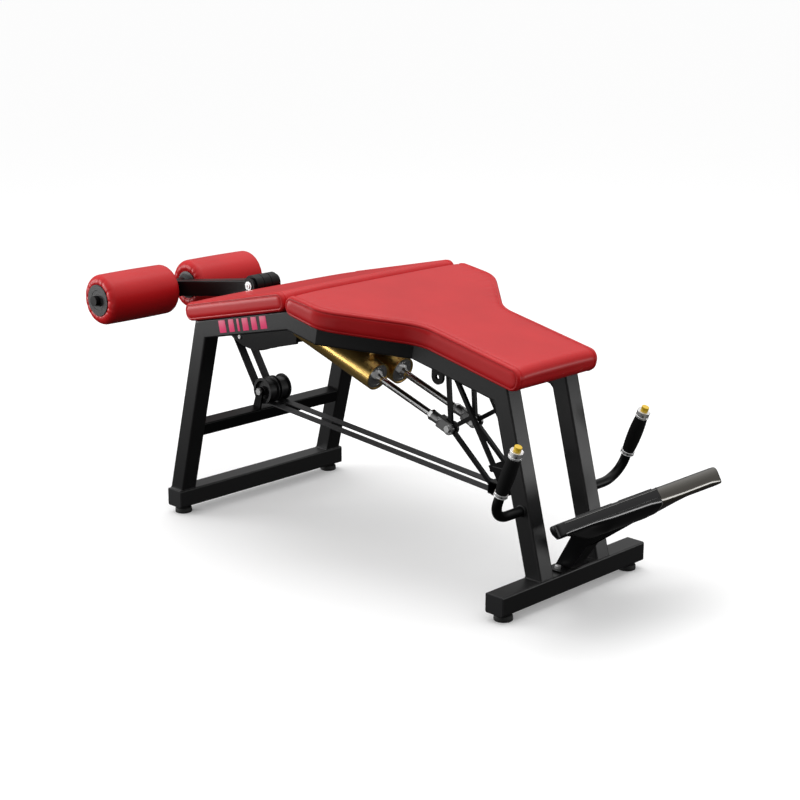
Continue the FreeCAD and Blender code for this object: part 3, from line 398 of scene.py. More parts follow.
def lathe(name, profile, origin, axis, material, body, segments=64, ripple=None, sharp=False):
    """A round piece from (distance along the axis, radius) pairs; ripple moves a radius with the angle."""
    axis = Vector(axis).normalized()
    side = axis.orthogonal().normalized()
    other = axis.cross(side)
    vertices = []
    for step, (distance, radius) in enumerate(profile):
        for k in range(segments):
            angle = 2 * math.pi * k / segments
            shift, lift = ripple(step, angle) if ripple else (0.0, 0.0)
            reach = max(radius + lift, 0.0)
            vertices.append(Vector(origin) + axis * (distance + shift)
                            + (side * math.cos(angle) + other * math.sin(angle)) * reach)
    faces = grid_faces(len(profile), segments)
    faces.append(tuple(reversed(range(segments))))
    faces.append(tuple(range((len(profile) - 1) * segments, len(profile) * segments)))
    piece = mesh_object(name, vertices, faces, material, body)
    if sharp:
        piece.data.set_sharp_from_angle(angle=math.radians(32))
    return piece


def bead(name, points, radius, material, body, closed=True, sides=10):
    """A round bead swept through points: a weld, a seam line or a bent pipe."""
    count = len(points)
    vertices = []
    for index, place in enumerate(points):
        before = points[(index - 1) % count] if closed or index > 0 else place
        after = points[(index + 1) % count] if closed or index < count - 1 else place
        direction = (after - before).normalized()
        helper = Vector((0.3, 0.2, 0.93)) if abs(direction.z) < 0.9 else Vector((1, 0.1, 0))
        side = direction.cross(helper).normalized()
        vertices += circle(place, side, direction.cross(side), radius, sides)
    faces = grid_faces(count, sides, wrap_rows=closed)
    if not closed:
        faces.append(tuple(reversed(range(sides))))
        faces.append(tuple(range((count - 1) * sides, count * sides)))
    return mesh_object(name, vertices, faces, material, body)


def rounded_block(name, size, place, material, body, bevel=0.001, segments=3):
    """A block with rounded edges, drawn round the origin of a placing matrix."""
    build = bmesh.new()
    bmesh.ops.create_cube(build, size=1.0, matrix=Matrix.Diagonal((*size, 1.0)))
    bmesh.ops.bevel(build, geom=build.edges[:], offset=bevel, segments=segments, affect="EDGES", profile=0.5)
    build.transform(place)
    mesh = bpy.data.meshes.new(name)
    build.to_mesh(mesh)
    build.free()
    mesh.materials.append(MATERIALS[material])
    mesh.shade_smooth()
    return link_piece(name, mesh, material, body)


# ---------------------------------------------------------------- padded pieces

def rounded_outline(length, bottom, top, radius, count):
    """Points round a pad's side profile, square ends rounded: (u, n) with outward normals.

    top is a function of u, so the pad's thickness can change along it.
    """
    corners = [(length - radius, -1, -90), (length - radius, 1, 0), (radius, 1, 90), (radius, -1, 180)]
    arc = count // 10
    flat = count // 2 - 2 * arc
    points = []
    for index, (u, way, start) in enumerate(corners):
        for k in range(arc):
            angle = math.radians(start + 90 * k / arc)
            centre_n = bottom + radius if way < 0 else top(u) - radius
            points.append((u + radius * math.cos(angle), centre_n + radius * math.sin(angle),
                           math.cos(angle), math.sin(angle)))
        if index == 1:
            for k in range(flat):
                u_flat = length - radius + (2 * radius - length) * k / flat
                points.append((u_flat, top(u_flat), 0.0, 1.0))
        if index == 3:
            for k in range(flat):
                points.append((radius + (length - 2 * radius) * k / flat, bottom, 0.0, -1.0))
    return np.array(points)


def pad_piece(name, origin, slope, start, length, top, half_width, node, end_radius):
    """An upholstered pad: one profile carried across the machine and closed by a flat panel on each side.

    Every ring is the profile; a side panel's rings shrink onto its middle line. A seam is a pair of grooves
    that run round the panel, with fine puckers beside them.
    """
    outline = rounded_outline(length, 0.001, top, end_radius, 480)
    u, n, normal_u, normal_n = outline.T
    middle = (n.max() + n.min()) / 2
    width = np.array([half_width(value + start) for value in np.clip(u, 0.0, length)])
    edge_radius = 0.0070
    groove = 0.0020
    piping = 0.0010
    seam_gap = 0.0045
    panel_in = 0.0022
    panel_bulge = 0.0022
    panel_steps = 10
    line_margin = 0.004
    rim_margin = 0.002
    pucker_height = 0.00045
    pucker_reach = 0.020
    crown_height = 0.0030
    settle_depth = 0.0012
    settle_reach = 0.006
    rings = []

    def add_ring(side, from_edge, inset):
        """A profile ring on one side: so far in from the pad's edge, and sunk by inset."""
        rings.append((u - normal_u * inset, side * (width - from_edge), n - normal_n * inset))

    def pucker(distance, phase):
        """Fine folds along the pad, two waves out of step, that fade away from the seam."""
        fade = math.exp(-((distance / pucker_reach) ** 2))
        return pucker_height * fade * (np.sin(u * 190 + phase) + 0.6 * np.sin(u * 317 + 2.1 * phase))

    def panel(side):
        """The side panel from its middle line outwards, gently filled."""
        line_u = np.clip(u, end_radius + line_margin, length - end_radius - line_margin)
        rim_u = u - normal_u * (edge_radius + rim_margin)
        rim_n = n - normal_n * (edge_radius + rim_margin)
        for k in range(panel_steps + 1):
            part = k / panel_steps
            bulge = panel_bulge * (1 - part ** 4)
            rings.append((line_u + (rim_u - line_u) * part, side * (width - panel_in + bulge),
                          middle + (rim_n - middle) * part))

    def edge(side):
        """Groove, piping and rounded edge, then the second seam on the top."""
        add_ring(side, panel_in + groove, edge_radius + 0.0008)
        add_ring(side, panel_in - piping, edge_radius - piping)
        for degrees in (30, 50, 70, 90):
            angle = math.radians(degrees)
            from_edge = panel_in + edge_radius * (1 - math.cos(angle))
            add_ring(side, from_edge, edge_radius * (1 - math.sin(angle)))
        seam = panel_in + edge_radius + seam_gap
        seam_end = seam + 0.0018
        add_ring(side, seam - 0.0016, -piping * 0.4)
        add_ring(side, seam, groove * 0.8)
        add_ring(side, seam_end, -piping)
        return seam_end

    panel(-1)
    inner_from_edge = edge(-1)
    across = 60
    inner = width - inner_from_edge
    for k in range(1, across):
        part = -1 + 2 * k / across
        part = math.copysign(1 - (1 - abs(part)) ** 1.5, part)
        from_seam = (1 - abs(part)) * float(inner.min())
        crown = crown_height * (1 - part ** 4) + pucker(from_seam, 3.0 if part < 0 else 5.0)
        settle = -settle_depth * math.exp(-((from_seam / settle_reach) ** 2))
        lift = (crown + settle) * np.clip(normal_n, 0.0, 1.0) - piping * abs(part) ** 30
        rings.append((u + normal_u * lift, inner * part, n + normal_n * lift))
    tail = len(rings)
    edge(1)
    rings[tail:] = reversed(rings[tail:])
    tail = len(rings)
    panel(1)
    rings[tail:] = reversed(rings[tail:])

    along = Vector((1, 0, slope)).normalized()
    normal = Vector((-slope, 0, 1)).normalized()
    base = Vector(origin)
    vertices = []
    for shape_u, y, shape_n in rings:
        for a, b, c in zip(shape_u, y, shape_n):
            vertices.append(base + along * (a + start) + Y_AXIS * float(b) + normal * float(c))
    piece = mesh_object(name, vertices, grid_faces(len(rings), len(u)), "red_vinyl")
    weld(piece, 0.00002)
    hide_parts(node)


def pad_seat(x_span, rail_start, rail_end, thick):
    """Where a pad lies on its sloping rail: origin, slope, how far along it starts, and length."""
    slope = rail_slope(rail_start, rail_end)
    x0, x1 = x_span
    normal = Vector((-slope, 0, 1)).normalized()
    origin = station((x0, rail_start[1] + slope * (x0 - rail_start[0]))) + normal * (TUBE / 2)
    return origin, slope, (thick + TUBE / 2) * slope, (x1 - x0) * math.hypot(1, slope)


def add_pads():
    """The flat rear pad, and the front pad, which thickens from its rear end and narrows to a nose."""
    pad_piece("rear_cushion", *pad_seat(REAR_PAD_X, REAR_CORNER, APEX, REAR_PAD_THICK),
              lambda u: REAR_PAD_THICK, lambda u: REAR_PAD_HALF, "rear_pad", REAR_PAD_END_R)

    scale = math.hypot(1, rail_slope(APEX, FRONT_CORNER))
    bend_at = [(x - FRONT_PAD_X[0]) * scale for x in FRONT_PAD_BENDS]

    def top(u):
        return FRONT_PAD_THICK + FRONT_PAD_TAPER * (1 - math.exp(-u / FRONT_PAD_TAPER_REACH))

    def half_width(u):
        """Wide shoulder, diagonal, narrow nose, its two bends eased over 60 mm."""
        samples = [u + step * 0.01 for step in range(-3, 4)]
        widths = [np.interp(v, bend_at, FRONT_PAD_HALVES) for v in samples]
        return float(np.mean(widths))

    pad_piece("front_cushion", *pad_seat(FRONT_PAD_X, APEX, FRONT_CORNER, FRONT_PAD_THICK),
              top, half_width, "front_pad", FRONT_PAD_END_R)


# ---------------------------------------------------------------- rollers

def sleeve_end():
    """A sleeve's profile from its end disc over the rounded shoulder, as (distance, radius) pairs."""
    face_steps = 8
    corner_steps = 12
    face_r = ROLLER_R - ROLLER_SHOULDER_R
    tuck = 0.002
    end = []
    for k in range(face_steps):
        part = k / face_steps
        radius = ROLLER_DISC_R - tuck + (face_r - ROLLER_DISC_R + tuck) * part
        end.append((0.004 * (1 - part) ** 2, radius))
    for k in range(corner_steps + 1):
        angle = math.radians(90 * k / corner_steps)
        end.append((ROLLER_SHOULDER_R * (1 - math.cos(angle)), face_r + ROLLER_SHOULDER_R * math.sin(angle)))
    return end


def sleeve_profile(length):
    """Both ends of a sleeve and the slightly barrelled stretch between them."""
    end = sleeve_end()
    profile = list(end)
    body_steps = 24
    for k in range(1, body_steps):
        part = k / body_steps
        distance = ROLLER_SHOULDER_R + (length - 2 * ROLLER_SHOULDER_R) * part
        profile.append((distance, ROLLER_R + 0.0008 * math.sin(math.pi * part)))
    profile += [(length - distance, radius) for distance, radius in reversed(end)]
    return profile


def gathers(pleats, total):
    """A ripple for lathe: sharp gathers at both ends that fade out over the rounded shoulders."""
    reach = len(sleeve_end()) - 4

    def ripple(step, angle):
        from_end = min(step, total - 1 - step)
        if from_end > reach:
            return (0.0, 0.0)
        fade = (1 - from_end / reach) ** 0.8
        depth = 0.0
        for place, strength in pleats:
            gap = (angle - place + math.pi) % (2 * math.pi) - math.pi
            depth += strength * math.exp(-((gap / PLEAT_WIDTH_RAD) ** 2))
        way = 1 if step < total / 2 else -1
        sink = PLEAT_DEPTH * depth * fade
        return (way * (sink - 0.0010 * fade), -0.4 * sink)

    return ripple


def hub_profile(length):
    """A roller's core: an inner dome, the tube inside the sleeve and the stepped disc at the outer end."""
    bore_r = 0.0126
    boss_r = 0.020
    boss_face = -0.011
    dome_r = 0.041
    dome_steps = 8
    tube_r = dome_r - 0.006
    hub = [(boss_face, bore_r), (boss_face, boss_r)]
    for k in range(1, dome_steps + 1):
        angle = math.radians(90 * k / dome_steps)
        radius = boss_r + (dome_r - boss_r) * (1 - math.cos(angle)) ** 0.6
        hub.append((boss_face + 0.012 * math.sin(angle), radius))
    hub += [(0.004, dome_r), (0.006, tube_r), (length - 0.004, tube_r)]
    disc = [(-0.004, 0.046), (0.001, 0.047), (0.002, 0.0462), (0.002, 0.030), (0.0012, 0.029),
            (0.0012, 0.019), (0.002, 0.018), (0.002, bore_r)]
    return hub + [(length + distance, radius) for distance, radius in disc]


def add_rollers():
    """Vinyl sleeves gathered round the end discs, and the cores they sit on."""
    chance = np.random.default_rng(7)
    inner, outer = ROLLER_SPAN
    length = outer - inner
    profile = sleeve_profile(length)
    for name, side in SIDES.items():
        pleats = [(2 * math.pi * (k + 0.35 * chance.uniform(-1, 1)) / PLEATS, chance.uniform(0.4, 1.0))
                  for k in range(PLEATS)]
        origin = station(ROLLER, side * inner)
        piece = lathe(f"roller_sleeve_{name}", profile, origin, Y_AXIS * side, "red_vinyl", f"roller_{name}",
                      segments=360, ripple=gathers(pleats, len(profile)))
        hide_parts(f"roller_pad_{name}")
        piece = lathe(f"roller_hub_{name}", hub_profile(length), origin, Y_AXIS * side, "black_plastic",
                      f"roller_{name}", segments=96, sharp=True)
        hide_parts(f"roller_core_{name}")


# ---------------------------------------------------------------- belts

def belt_strip(name, line, y, body, nodes=()):
    """A flat belt along (station, outward direction) pairs, with slightly rounded edges."""
    half = BELT_WIDTH / 2
    thick = BELT_THICK
    flat = half - 0.0006
    section = [(-half, 0.2), (-half, 0.8), (-flat, 1.0), (flat, 1.0), (half, 0.8), (half, 0.2), (flat, 0.0),
               (-flat, 0.0)]
    vertices = []
    for (x, z), (out_x, out_z) in line:
        for across, rise in section:
            lift = (rise - 0.5) * thick
            vertices.append(station((x + out_x * lift, z + out_z * lift), y + across))
    count = len(section)
    faces = grid_faces(len(line), count)
    faces.append(tuple(reversed(range(count))))
    faces.append(tuple(range((len(line) - 1) * count, len(line) * count)))
    piece = mesh_object(name, vertices, faces, "belt_rubber", body, smooth=False)
    if nodes:
        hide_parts(*nodes)
    return piece


def arc_line(centre, radius, start_deg, end_deg, steps):
    """(station, outward direction) pairs along an arc."""
    line = []
    for k in range(steps + 1):
        degrees = start_deg + (end_deg - start_deg) * k / steps
        direction = polar((0, 0), 1.0, degrees)
        line.append((polar(centre, radius, degrees), direction))
    return line


def add_belts():
    """Each belt in three lengths: down from the cam and round the idler, on the cam, and forward."""
    cam_r = CAM_RIM_R + BELT_THICK / 2
    idler_r = IDLER_GROOVE_R + BELT_THICK / 2
    reach = math.dist(IDLER, BELT_TIP)
    toward_tip = math.atan2(BELT_TIP[1] - IDLER[1], BELT_TIP[0] - IDLER[0])
    leave_deg = math.degrees(toward_tip - math.acos(idler_r / reach)) % 360
    leave = polar(IDLER, idler_r, leave_deg)
    run_out = polar((0, 0), 1.0, BELT_START_DEG)
    top = polar(KNEE, cam_r, BELT_START_DEG)
    down = polar((0, 0), 1.0, leave_deg)
    for name, side in SIDES.items():
        y = side * BELT_Y
        line = [(top, run_out)] + arc_line(IDLER, idler_r, BELT_START_DEG, leave_deg, 16)
        belt_strip(f"belt_up_{name}", line, y, "root", ["belt_up_runs"] if side < 0 else ())

        # On the machine this length winds up along the rim as the lever turns; here it is laid along the rim
        # once and rides on no body.
        wrap = arc_line(KNEE, cam_r, BELT_START_DEG, CAM_START_DEG, 48)
        piece = belt_strip(f"belt_wrap_{name}", wrap, y, None, ["belt_wraps"] if side < 0 else ())
        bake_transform(piece)

        forward = [(leave, down), (BELT_TIP, down)]
        piece = belt_strip(f"belt_forward_{name}", forward, y, "forward_belt",
                           ["belt_forward_runs"] if side < 0 else ())
        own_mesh(piece)


# ---------------------------------------------------------------- display

def round_corners(corners, radii, steps=6):
    """Points of a closed outline with each corner rounded, the same count for any shape."""
    points = []
    for index, corner in enumerate(corners):
        here = Vector(corner)
        before = (Vector(corners[index - 1]) - here)
        after = (Vector(corners[(index + 1) % len(corners)]) - here)
        reach = min(radii[index], before.length * 0.48, after.length * 0.48)
        first = here + before.normalized() * reach
        last = here + after.normalized() * reach
        for k in range(steps + 1):
            t = k / steps
            points.append(first * (1 - t) ** 2 + here * (2 * t * (1 - t)) + last * t ** 2)
    return points


def display_frame():
    """A point on the console's rim, its forward direction, and the direction out of its upper face."""
    tilt = math.radians(DISPLAY_TILT_DEG)
    forward = Vector((math.cos(tilt), 0, math.sin(tilt)))
    out = Vector((-math.sin(tilt), 0, math.cos(tilt)))
    return station(DISPLAY_RIM_TOP), forward, out


def display_depth(y):
    """How far the console runs back from its rim: a flat arc."""
    sweep = min(abs(y) / DISPLAY_HALF, 1.0)
    return DISPLAY_SHOULDER + (DISPLAY_DEPTH - DISPLAY_SHOULDER) * (1 - sweep ** 2.2)


def display_section(y):
    """The console's side profile at one y, as (forward, up) points in its own tilted frame."""
    depth = display_depth(y)
    rim = float(np.interp(y, *zip(*DISPLAY_RIM)))
    belly = float(np.interp(y, *zip(*DISPLAY_BELLY)))
    end = min(1.0, (DISPLAY_HALF - abs(y)) / DISPLAY_CORNER_R)
    close = math.sqrt(max(0.0, 1 - (1 - end) ** 2))
    front = -DISPLAY_CORNER_R * (1 - close)
    smoky = y > DISPLAY_SPLIT_Y
    under = min(0.03, depth * 0.4)
    corners = [(front, 0.0), (-depth, 0.0), (-depth, -0.020), (-depth * 0.72, -belly),
               (front - under, -belly), (front, -rim)]
    top_r, low_r = (0.022, 0.024) if smoky else (0.004, 0.010)
    middle = -rim * 0.5
    squeeze = 1 - 0.10 * (1 - close)
    points = round_corners(corners, [top_r, 0.010, 0.014, 0.030, 0.020, low_r])
    return [(p.x, middle + (p.y - middle) * squeeze) for p in points]


def display_shell(name, y_start, y_end, material, node):
    """The console between two y values, lofted through its sections, closed at both ends."""
    rim_top, forward, out = display_frame()
    count = 72
    vertices = []
    places = []
    for k in range(count + 1):
        t = k / count
        places.append(y_start + (y_end - y_start) * (0.5 - 0.5 * math.cos(math.pi * t)))
    for y in places:
        section = display_section(y)
        for u, w in section:
            vertices.append(rim_top + Y_AXIS * y + forward * u + out * w)
    columns = len(section)
    faces = grid_faces(len(places), columns)
    faces.append(tuple(reversed(range(columns))))
    faces.append(tuple(range(count * columns, (count + 1) * columns)))
    piece = mesh_object(name, vertices, faces, material)
    piece.data.set_sharp_from_angle(angle=math.radians(38))
    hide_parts(node)


def add_display():
    """The console's body and smoky end cover, its lines (the joint and the rim's upper line grey as painted
    highlights), its window and its keys.
    """
    rim_top, forward, out = display_frame()
    half = DISPLAY_HALF
    split_gap = 0.0006
    window_y = -0.060
    key_y = 0.048
    display_shell("console_body", -half, DISPLAY_SPLIT_Y - split_gap, "display_black", "display_housing")
    display_shell("console_cover", DISPLAY_SPLIT_Y + split_gap, half, "display_smoke", "display_end_cover")

    def on_face(u, y, lift=0.0):
        return rim_top + forward * u + Y_AXIS * y + out * lift

    # Joint line round the front of the cover and two fine lines along the rim of the body; the joint and the
    # upper rim line are grey as painted highlights, on a housing that is black.
    section = display_section(DISPLAY_SPLIT_Y - 0.001)
    loop = [on_face(u, DISPLAY_SPLIT_Y, w) for u, w in section if u > -0.16]
    bead("console_joint", loop, 0.0011, "console_highlight_grey", "root", closed=False, sides=8)
    line_start = -half + 0.020
    line_length = half + DISPLAY_SPLIT_Y - 0.024
    line_steps = 24
    # The upper rim line is grey as a painted highlight; the lower one is housing black.
    rim_lines = ((0.0006, -0.0045, "console_highlight_grey"), (0.0008, -0.0245, "display_black"))
    for index, (u, w, finish) in enumerate(rim_lines):
        line = [on_face(u, line_start + k * line_length / line_steps, w) for k in range(line_steps + 1)]
        bead(f"console_line_{index}", line, 0.0007, finish, "root", closed=False, sides=6)

    # Two raised lips along the body's front edge.
    lips = ((-half + 0.075, -half + 0.205), (-half + 0.235, DISPLAY_SPLIT_Y - 0.012))
    for index, (start, end) in enumerate(lips):
        middle = on_face(-0.010, (start + end) / 2, 0.0006)
        rounded_block(f"console_lip_{index}", (0.007, end - start, 0.0030), basis(middle, forward, out),
                      "display_black", "root", 0.0012)

    # The panel on its upper face: a glass window over dark ground with generic bars, and four keys.
    matrix = basis(on_face(-0.085, window_y, 0.0006), forward, out)
    rounded_block("console_window", (0.070, 0.150, 0.0016), matrix, "display_glass", "root", 0.0007)
    for index in range(5):
        place = basis(on_face(-0.108 + 0.011 * index, window_y, 0.0016), forward, out)
        rounded_block(f"console_bar_{index}", (0.004, 0.030 + 0.018 * index, 0.0006), place, "display_marks",
                      "root", 0.0002)
    for index in range(4):
        lathe(f"console_key_{index}", [(-0.001, 0.008), (0.0012, 0.008), (0.0020, 0.0068)],
              on_face(-0.050 - 0.022 * index, key_y), out, "black_plastic", "root", segments=32, sharp=True)


# ---------------------------------------------------------------- small pieces

def hex_head(name, origin, axis, radius, height, material, body):
    """A chamfered hexagon head with a washer face."""
    profile = [(0.0, radius * 0.98), (height * 0.12, radius), (height * 0.82, radius),
               (height, radius * 0.86)]
    return lathe(name, profile, origin, axis, material, body, segments=6, sharp=True)


def add_badge():
    """Plain bars along the near rear rail, in place of lettering, their pink paint with a faint painted
    glow.
    """
    slope = rail_slope(REAR_CORNER, APEX)
    along = Vector((1, 0, slope)).normalized()
    x = BADGE_START_X
    for index, width in enumerate(BADGE_WIDTHS):
        z = REAR_CORNER[1] + slope * (x - REAR_CORNER[0]) + BADGE_RISE
        centre = station((x, z), -FRAME_OUTER_Y - 0.0002) + along * (width / 2)
        rounded_block(f"badge_{index}", (width, BADGE_HEIGHT, BADGE_THICK), basis(centre, along, (0, -1, 0)),
                      "badge_paint_and_glow", "root", 0.0002)
        x += width + BADGE_GAP


def add_feet():
    """Round rubber feet, a little fuller below the rim; one of them stands in for the CAD's group."""
    profile = [(0.0, 0.0215), (0.0008, 0.0235), (0.0030, 0.0240), (0.0115, 0.0236), (0.0138, 0.0222),
               (0.0150, 0.0195)]
    for end, (x, y) in FOOT_PLACES.items():
        for name, side in SIDES.items():
            piece = lathe(f"foot_{end}_{name}", profile, station((x, 0.0), side * y), Z_AXIS, "foot_rubber",
                          "root")
            if (end, name) == ("rear", "right"):
                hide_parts("foot_pads")


def add_bumper():
    """The rest stop's rubber block, its end rounded over where the rocker's bar leans on it."""
    low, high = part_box("rest_bumper")
    middle = (Vector(low) + Vector(high)) / 2
    profile = [(-0.0070, 0.0055), (-0.0066, 0.0068), (-0.0055, 0.0080), (-0.0040, 0.0085), (0.0052, 0.0085),
               (0.0062, 0.0082), (0.0070, 0.0076)]
    piece = lathe("rest_block", profile, middle, BUMPER_AXIS, "foot_rubber", "root", segments=48)
    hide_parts("rest_bumper")


def grip_profile():
    """A foam sleeve's (distance, radius) pairs, fuller in the middle."""
    steps = 28
    profile = []
    for k in range(steps + 1):
        part = k / steps
        swell = math.sin(math.pi * part) ** 0.6
        profile.append((GRIP_START + GRIP_LENGTH * part, GRIP_END_R + GRIP_SWELL * swell))
    return profile


def add_grips():
    """Foam sleeves, the rings and set screws of their collars, and the weld between each handle and leg."""
    lean = math.radians(GRIP_LEAN_DEG)
    axis = Vector((math.sin(lean), 0, math.cos(lean)))
    screw = [(-0.001, 0.0022), (0.0005, 0.0022), (0.0005, 0.0012), (-0.0008, 0.0010)]
    for name, side in SIDES.items():
        corner = station(HANDLE_FOOT, side * HANDLE_Y)
        piece = lathe(f"grip_{name}", grip_profile(), corner, axis, "grip_foam", "root")
        if side < 0:
            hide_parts("handle_grips")
        angle = -0.75 if side < 0 else -0.9
        out = (X_AXIS - axis * axis.x).normalized() * math.cos(angle) + Y_AXIS * math.sin(angle)
        for index, (along, radius) in enumerate(SET_SCREWS):
            place = corner + axis * along + out * radius
            lathe(f"set_screw_{name}_{index}", screw, place, out, "foot_rubber", "root", segments=20,
                  sharp=True)
        for index, (along, radius) in enumerate(COLLAR_RINGS):
            ring = circle(corner + axis * along, axis.cross(Y_AXIS), Y_AXIS, radius, 48)
            bead(f"collar_ring_{name}_{index}", ring, 0.0009, "chrome", "root", sides=8)
        loop = circle(station(HANDLE_FOOT, side * HANDLE_WELD_Y), X_AXIS, Z_AXIS, HANDLE_WELD_R, 40)
        bead(f"handle_weld_{name}", loop, 0.0020, "frame_paint", "root")


def leg_weld(name, x, y):
    """The bead round the foot of a leg on its base bar."""
    half = TUBE / 2 + 0.0005
    corner = 0.005
    loop = []
    for cx, cy, start in ((half, half, 0), (-half, half, 90), (-half, -half, 180), (half, -half, 270)):
        centre = Vector((math.copysign(half - corner, cx), math.copysign(half - corner, cy), 0))
        for k in range(5):
            angle = math.radians(start + 90 * k / 4)
            way = Vector((math.cos(angle), math.sin(angle), 0))
            loop.append(station((x, BASE_TOP), y) + centre + way * corner)
    bead(name, loop, 0.0020, "frame_paint", "root", sides=8)


def add_welds():
    for name, side in SIDES.items():
        for end, (x, y) in LEG_PLACES.items():
            leg_weld(f"weld_{end}_{name}", x, side * y)


def add_cap_details(name, line, to_pivot, up):
    """The turned face of a cylinder's front cap, with a brass rim round it and a bright ring on it."""
    body = f"cylinder_body_{name}"
    turned = [(-0.0003 * (k % 2) - 0.0002, CAP_FACE_R - 0.0009 * k) for k in range(24)]
    lathe(f"cap_face_{name}", [(0.004, CAP_FACE_R)] + turned, line + to_pivot * CAP_FACE_REACH, to_pivot,
          "turned_steel", body, segments=96)
    rims = ((CYLINDER_R - 0.0014, 0.0012, "brass_fitting"), (CAP_FACE_R - 0.009, 0.0006, "chrome"))
    for index, (radius, bead_r, finish) in enumerate(rims):
        centre = line + to_pivot * (CAP_FACE_REACH - CAP_RECESS + 0.0012 * (index + 1))
        bead(f"cap_rim_{name}_{index}", circle(centre, up, Y_AXIS, radius, 72), bead_r, finish, body)


def add_fitting(name, line, to_pivot, up):
    """The brass elbow on top of a cylinder, behind its front cap, with its nut and ring."""
    body = f"cylinder_body_{name}"
    low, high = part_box(f"cylinder_cap_{name}")
    middle = (Vector(low) + Vector(high)) / 2
    nose = line + to_pivot * ((middle - line).dot(to_pivot) + 0.020)
    post_back = 0.012
    bend_r = 0.010
    foot = nose + to_pivot * post_back
    ring = circle(foot + up * (CYLINDER_R + 0.012), up, Y_AXIS, 0.0075, 28)
    bead(f"fitting_ring_{name}", ring, 0.0024, "brass_fitting", body)
    post = [(-0.003, 0.0075), (0.004, 0.0075), (0.004, 0.0050), (0.012, 0.0050)]
    lathe(f"fitting_post_{name}", post, foot + up * CYLINDER_R, up, "brass_fitting", body, segments=6,
          sharp=True)
    bend = []
    for k in range(9):
        angle = math.radians(90 * k / 8)
        back = post_back + bend_r * (1 - math.cos(angle))
        rise = CYLINDER_R + 0.010 + bend_r * math.sin(angle)
        bend.append(nose + to_pivot * back + up * rise)
    bead(f"fitting_elbow_{name}", bend, 0.0048, "brass_fitting", body, closed=False, sides=16)


def add_clevis_rims(name, line, to_pivot, up):
    """A raised oval rim on each cheek of a clevis."""
    radius = 0.0135
    half_straight = 0.0125
    for cheek, way in (("near", -1), ("far", 1)):
        centre = line + to_pivot * 0.012 + Y_AXIS * (way * 0.0130)
        oval = []
        for k in range(48):
            angle = 2 * math.pi * k / 48
            reach = to_pivot * (math.cos(angle) * radius + math.copysign(half_straight, math.cos(angle)))
            oval.append(centre + reach + up * (math.sin(angle) * radius))
        bead(f"clevis_rim_{name}_{cheek}", oval, 0.0013, "grey_steel", f"rod_{name}")


def add_linkage_details():
    """Bolts on the cams, turned faces and brass elbows on the cylinders, rims on the clevises."""
    to_pivot = (station(CYLINDER_PIVOT) - station(CLEVIS)).normalized()
    up = Vector((to_pivot.z, 0, -to_pivot.x))
    for name, side in SIDES.items():
        hex_head(f"cam_bolt_{name}", station(CAM_BOLT, side * CAM_FLANGE_Y), Y_AXIS * side, 0.0065, 0.004,
                 "zinc", "knee_arm")
        line = station(CLEVIS, side * CYLINDER_Y)
        add_cap_details(name, line, to_pivot, up)
        add_fitting(name, line, to_pivot, up)
        add_clevis_rims(name, line, to_pivot, up)


# ---------------------------------------------------------------- stage

def add_camera():
    azimuth = math.radians(CAMERA_AZIMUTH_DEG)
    elevation = math.radians(CAMERA_ELEVATION_DEG)
    towards = Vector((-math.sin(azimuth) * math.cos(elevation), math.cos(azimuth) * math.cos(elevation),
                      -math.sin(elevation)))
    data = bpy.data.cameras.new("camera")
    data.lens = CAMERA_LENS_MM
    data.sensor_width = CAMERA_SENSOR_MM
    data.clip_end = CAMERA_CLIP
    camera = bpy.data.objects.new("camera", data)
    bpy.context.scene.collection.objects.link(camera)
    x, y, z = CAMERA_PLACE
    camera.location = (x + ORIGIN_SHIFT, y, z)
    camera.rotation_euler = towards.to_track_quat("-Z", "Y").to_euler()
    camera.rotation_euler.rotate_axis("Z", math.radians(CAMERA_ROLL_DEG))
    bpy.context.scene.camera = camera


def add_light(name, place, aim, size, energy):
    data = bpy.data.lights.new(name, "AREA")
    data.shape = "RECTANGLE"
    data.size, data.size_y = size
    data.energy = energy
    lamp = bpy.data.objects.new(name, data)
    bpy.context.scene.collection.objects.link(lamp)
    lamp.location = place
    lamp.rotation_euler = (Vector(aim) - Vector(place)).to_track_quat("-Z", "Y").to_euler()
    lamp.visible_camera = False


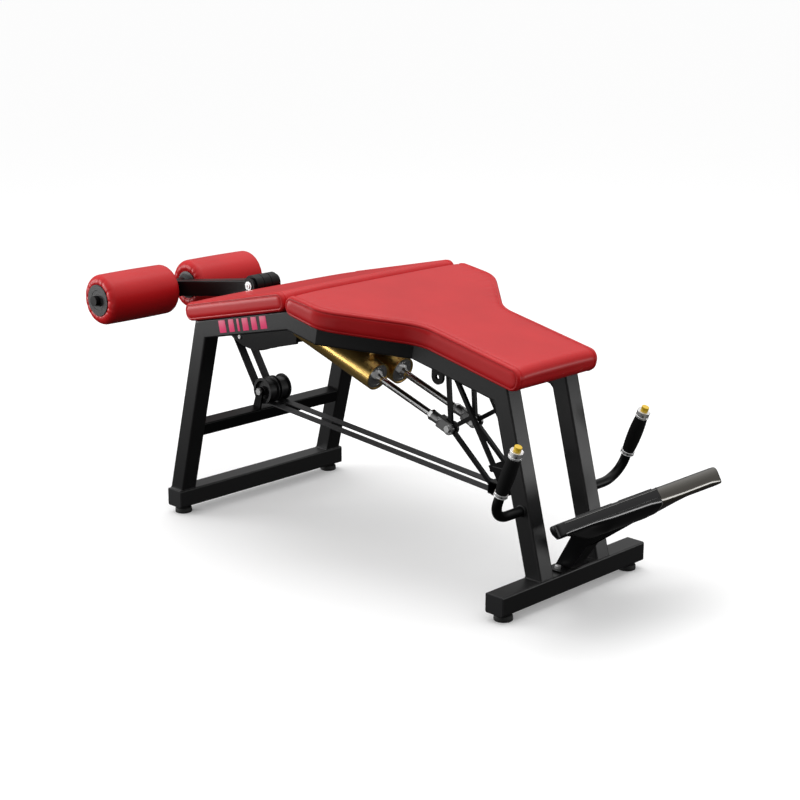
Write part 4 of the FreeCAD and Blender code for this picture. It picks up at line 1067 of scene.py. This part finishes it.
def add_floor():
    """A white studio floor that takes shadows and throws no light back up."""
    material = bpy.data.materials.new("studio_floor")
    material.use_nodes = True
    shader = material.node_tree.nodes["Principled BSDF"]
    shader.inputs["Base Color"].default_value = (FLOOR_ALBEDO, FLOOR_ALBEDO, FLOOR_ALBEDO, 1.0)
    shader.inputs["Roughness"].default_value = 0.9
    shader.inputs["Specular IOR Level"].default_value = 0.0
    shader.inputs["Emission Color"].default_value = (1.0, 1.0, 1.0, 1.0)
    shader.inputs["Emission Strength"].default_value = FLOOR_GLOW
    mesh = bpy.data.meshes.new("floor")
    reach = FLOOR_REACH
    mesh.from_pydata([(-reach, -reach, 0), (reach, -reach, 0), (reach, reach, 0), (-reach, reach, 0)], [],
                     [(0, 1, 2, 3)])
    mesh.materials.append(material)
    floor = bpy.data.objects.new("floor", mesh)
    bpy.context.scene.collection.objects.link(floor)
    floor.visible_diffuse = False
    floor.visible_glossy = False


def add_sky():
    """A soft overhead: bright above, dimmer towards the horizon, dark below it."""
    world = bpy.data.worlds.new("studio")
    world.use_nodes = True
    nodes = world.node_tree.nodes
    links = world.node_tree.links
    place = nodes.new("ShaderNodeTexCoord")
    split = nodes.new("ShaderNodeSeparateXYZ")
    span = nodes.new("ShaderNodeMapRange")
    span.inputs["From Min"].default_value = -1.0
    ramp = nodes.new("ShaderNodeValToRGB")
    ramp.color_ramp.elements.remove(ramp.color_ramp.elements[1])
    for index, (position, level) in enumerate(SKY_STEPS):
        stop = ramp.color_ramp.elements[0] if index == 0 else ramp.color_ramp.elements.new(position)
        stop.position = position
        stop.color = (level, level, level, 1.0)
    links.new(place.outputs["Generated"], split.inputs["Vector"])
    links.new(split.outputs["Z"], span.inputs["Value"])
    links.new(span.outputs["Result"], ramp.inputs["Fac"])
    links.new(ramp.outputs["Color"], nodes["Background"].inputs["Color"])
    bpy.context.scene.world = world


def add_stage():
    add_floor()
    add_sky()
    bpy.context.scene.view_settings.view_transform = "Standard"
    for name, (place, aim, size, power) in LAMPS.items():
        add_light(name, place, aim, size, power)


make_materials()
paint_cad_nodes()
add_pads()
add_rollers()
add_belts()
add_display()
add_badge()
add_feet()
add_bumper()
add_grips()
add_welds()
add_linkage_details()
add_camera()
add_stage()
bpy.context.view_layer.update()
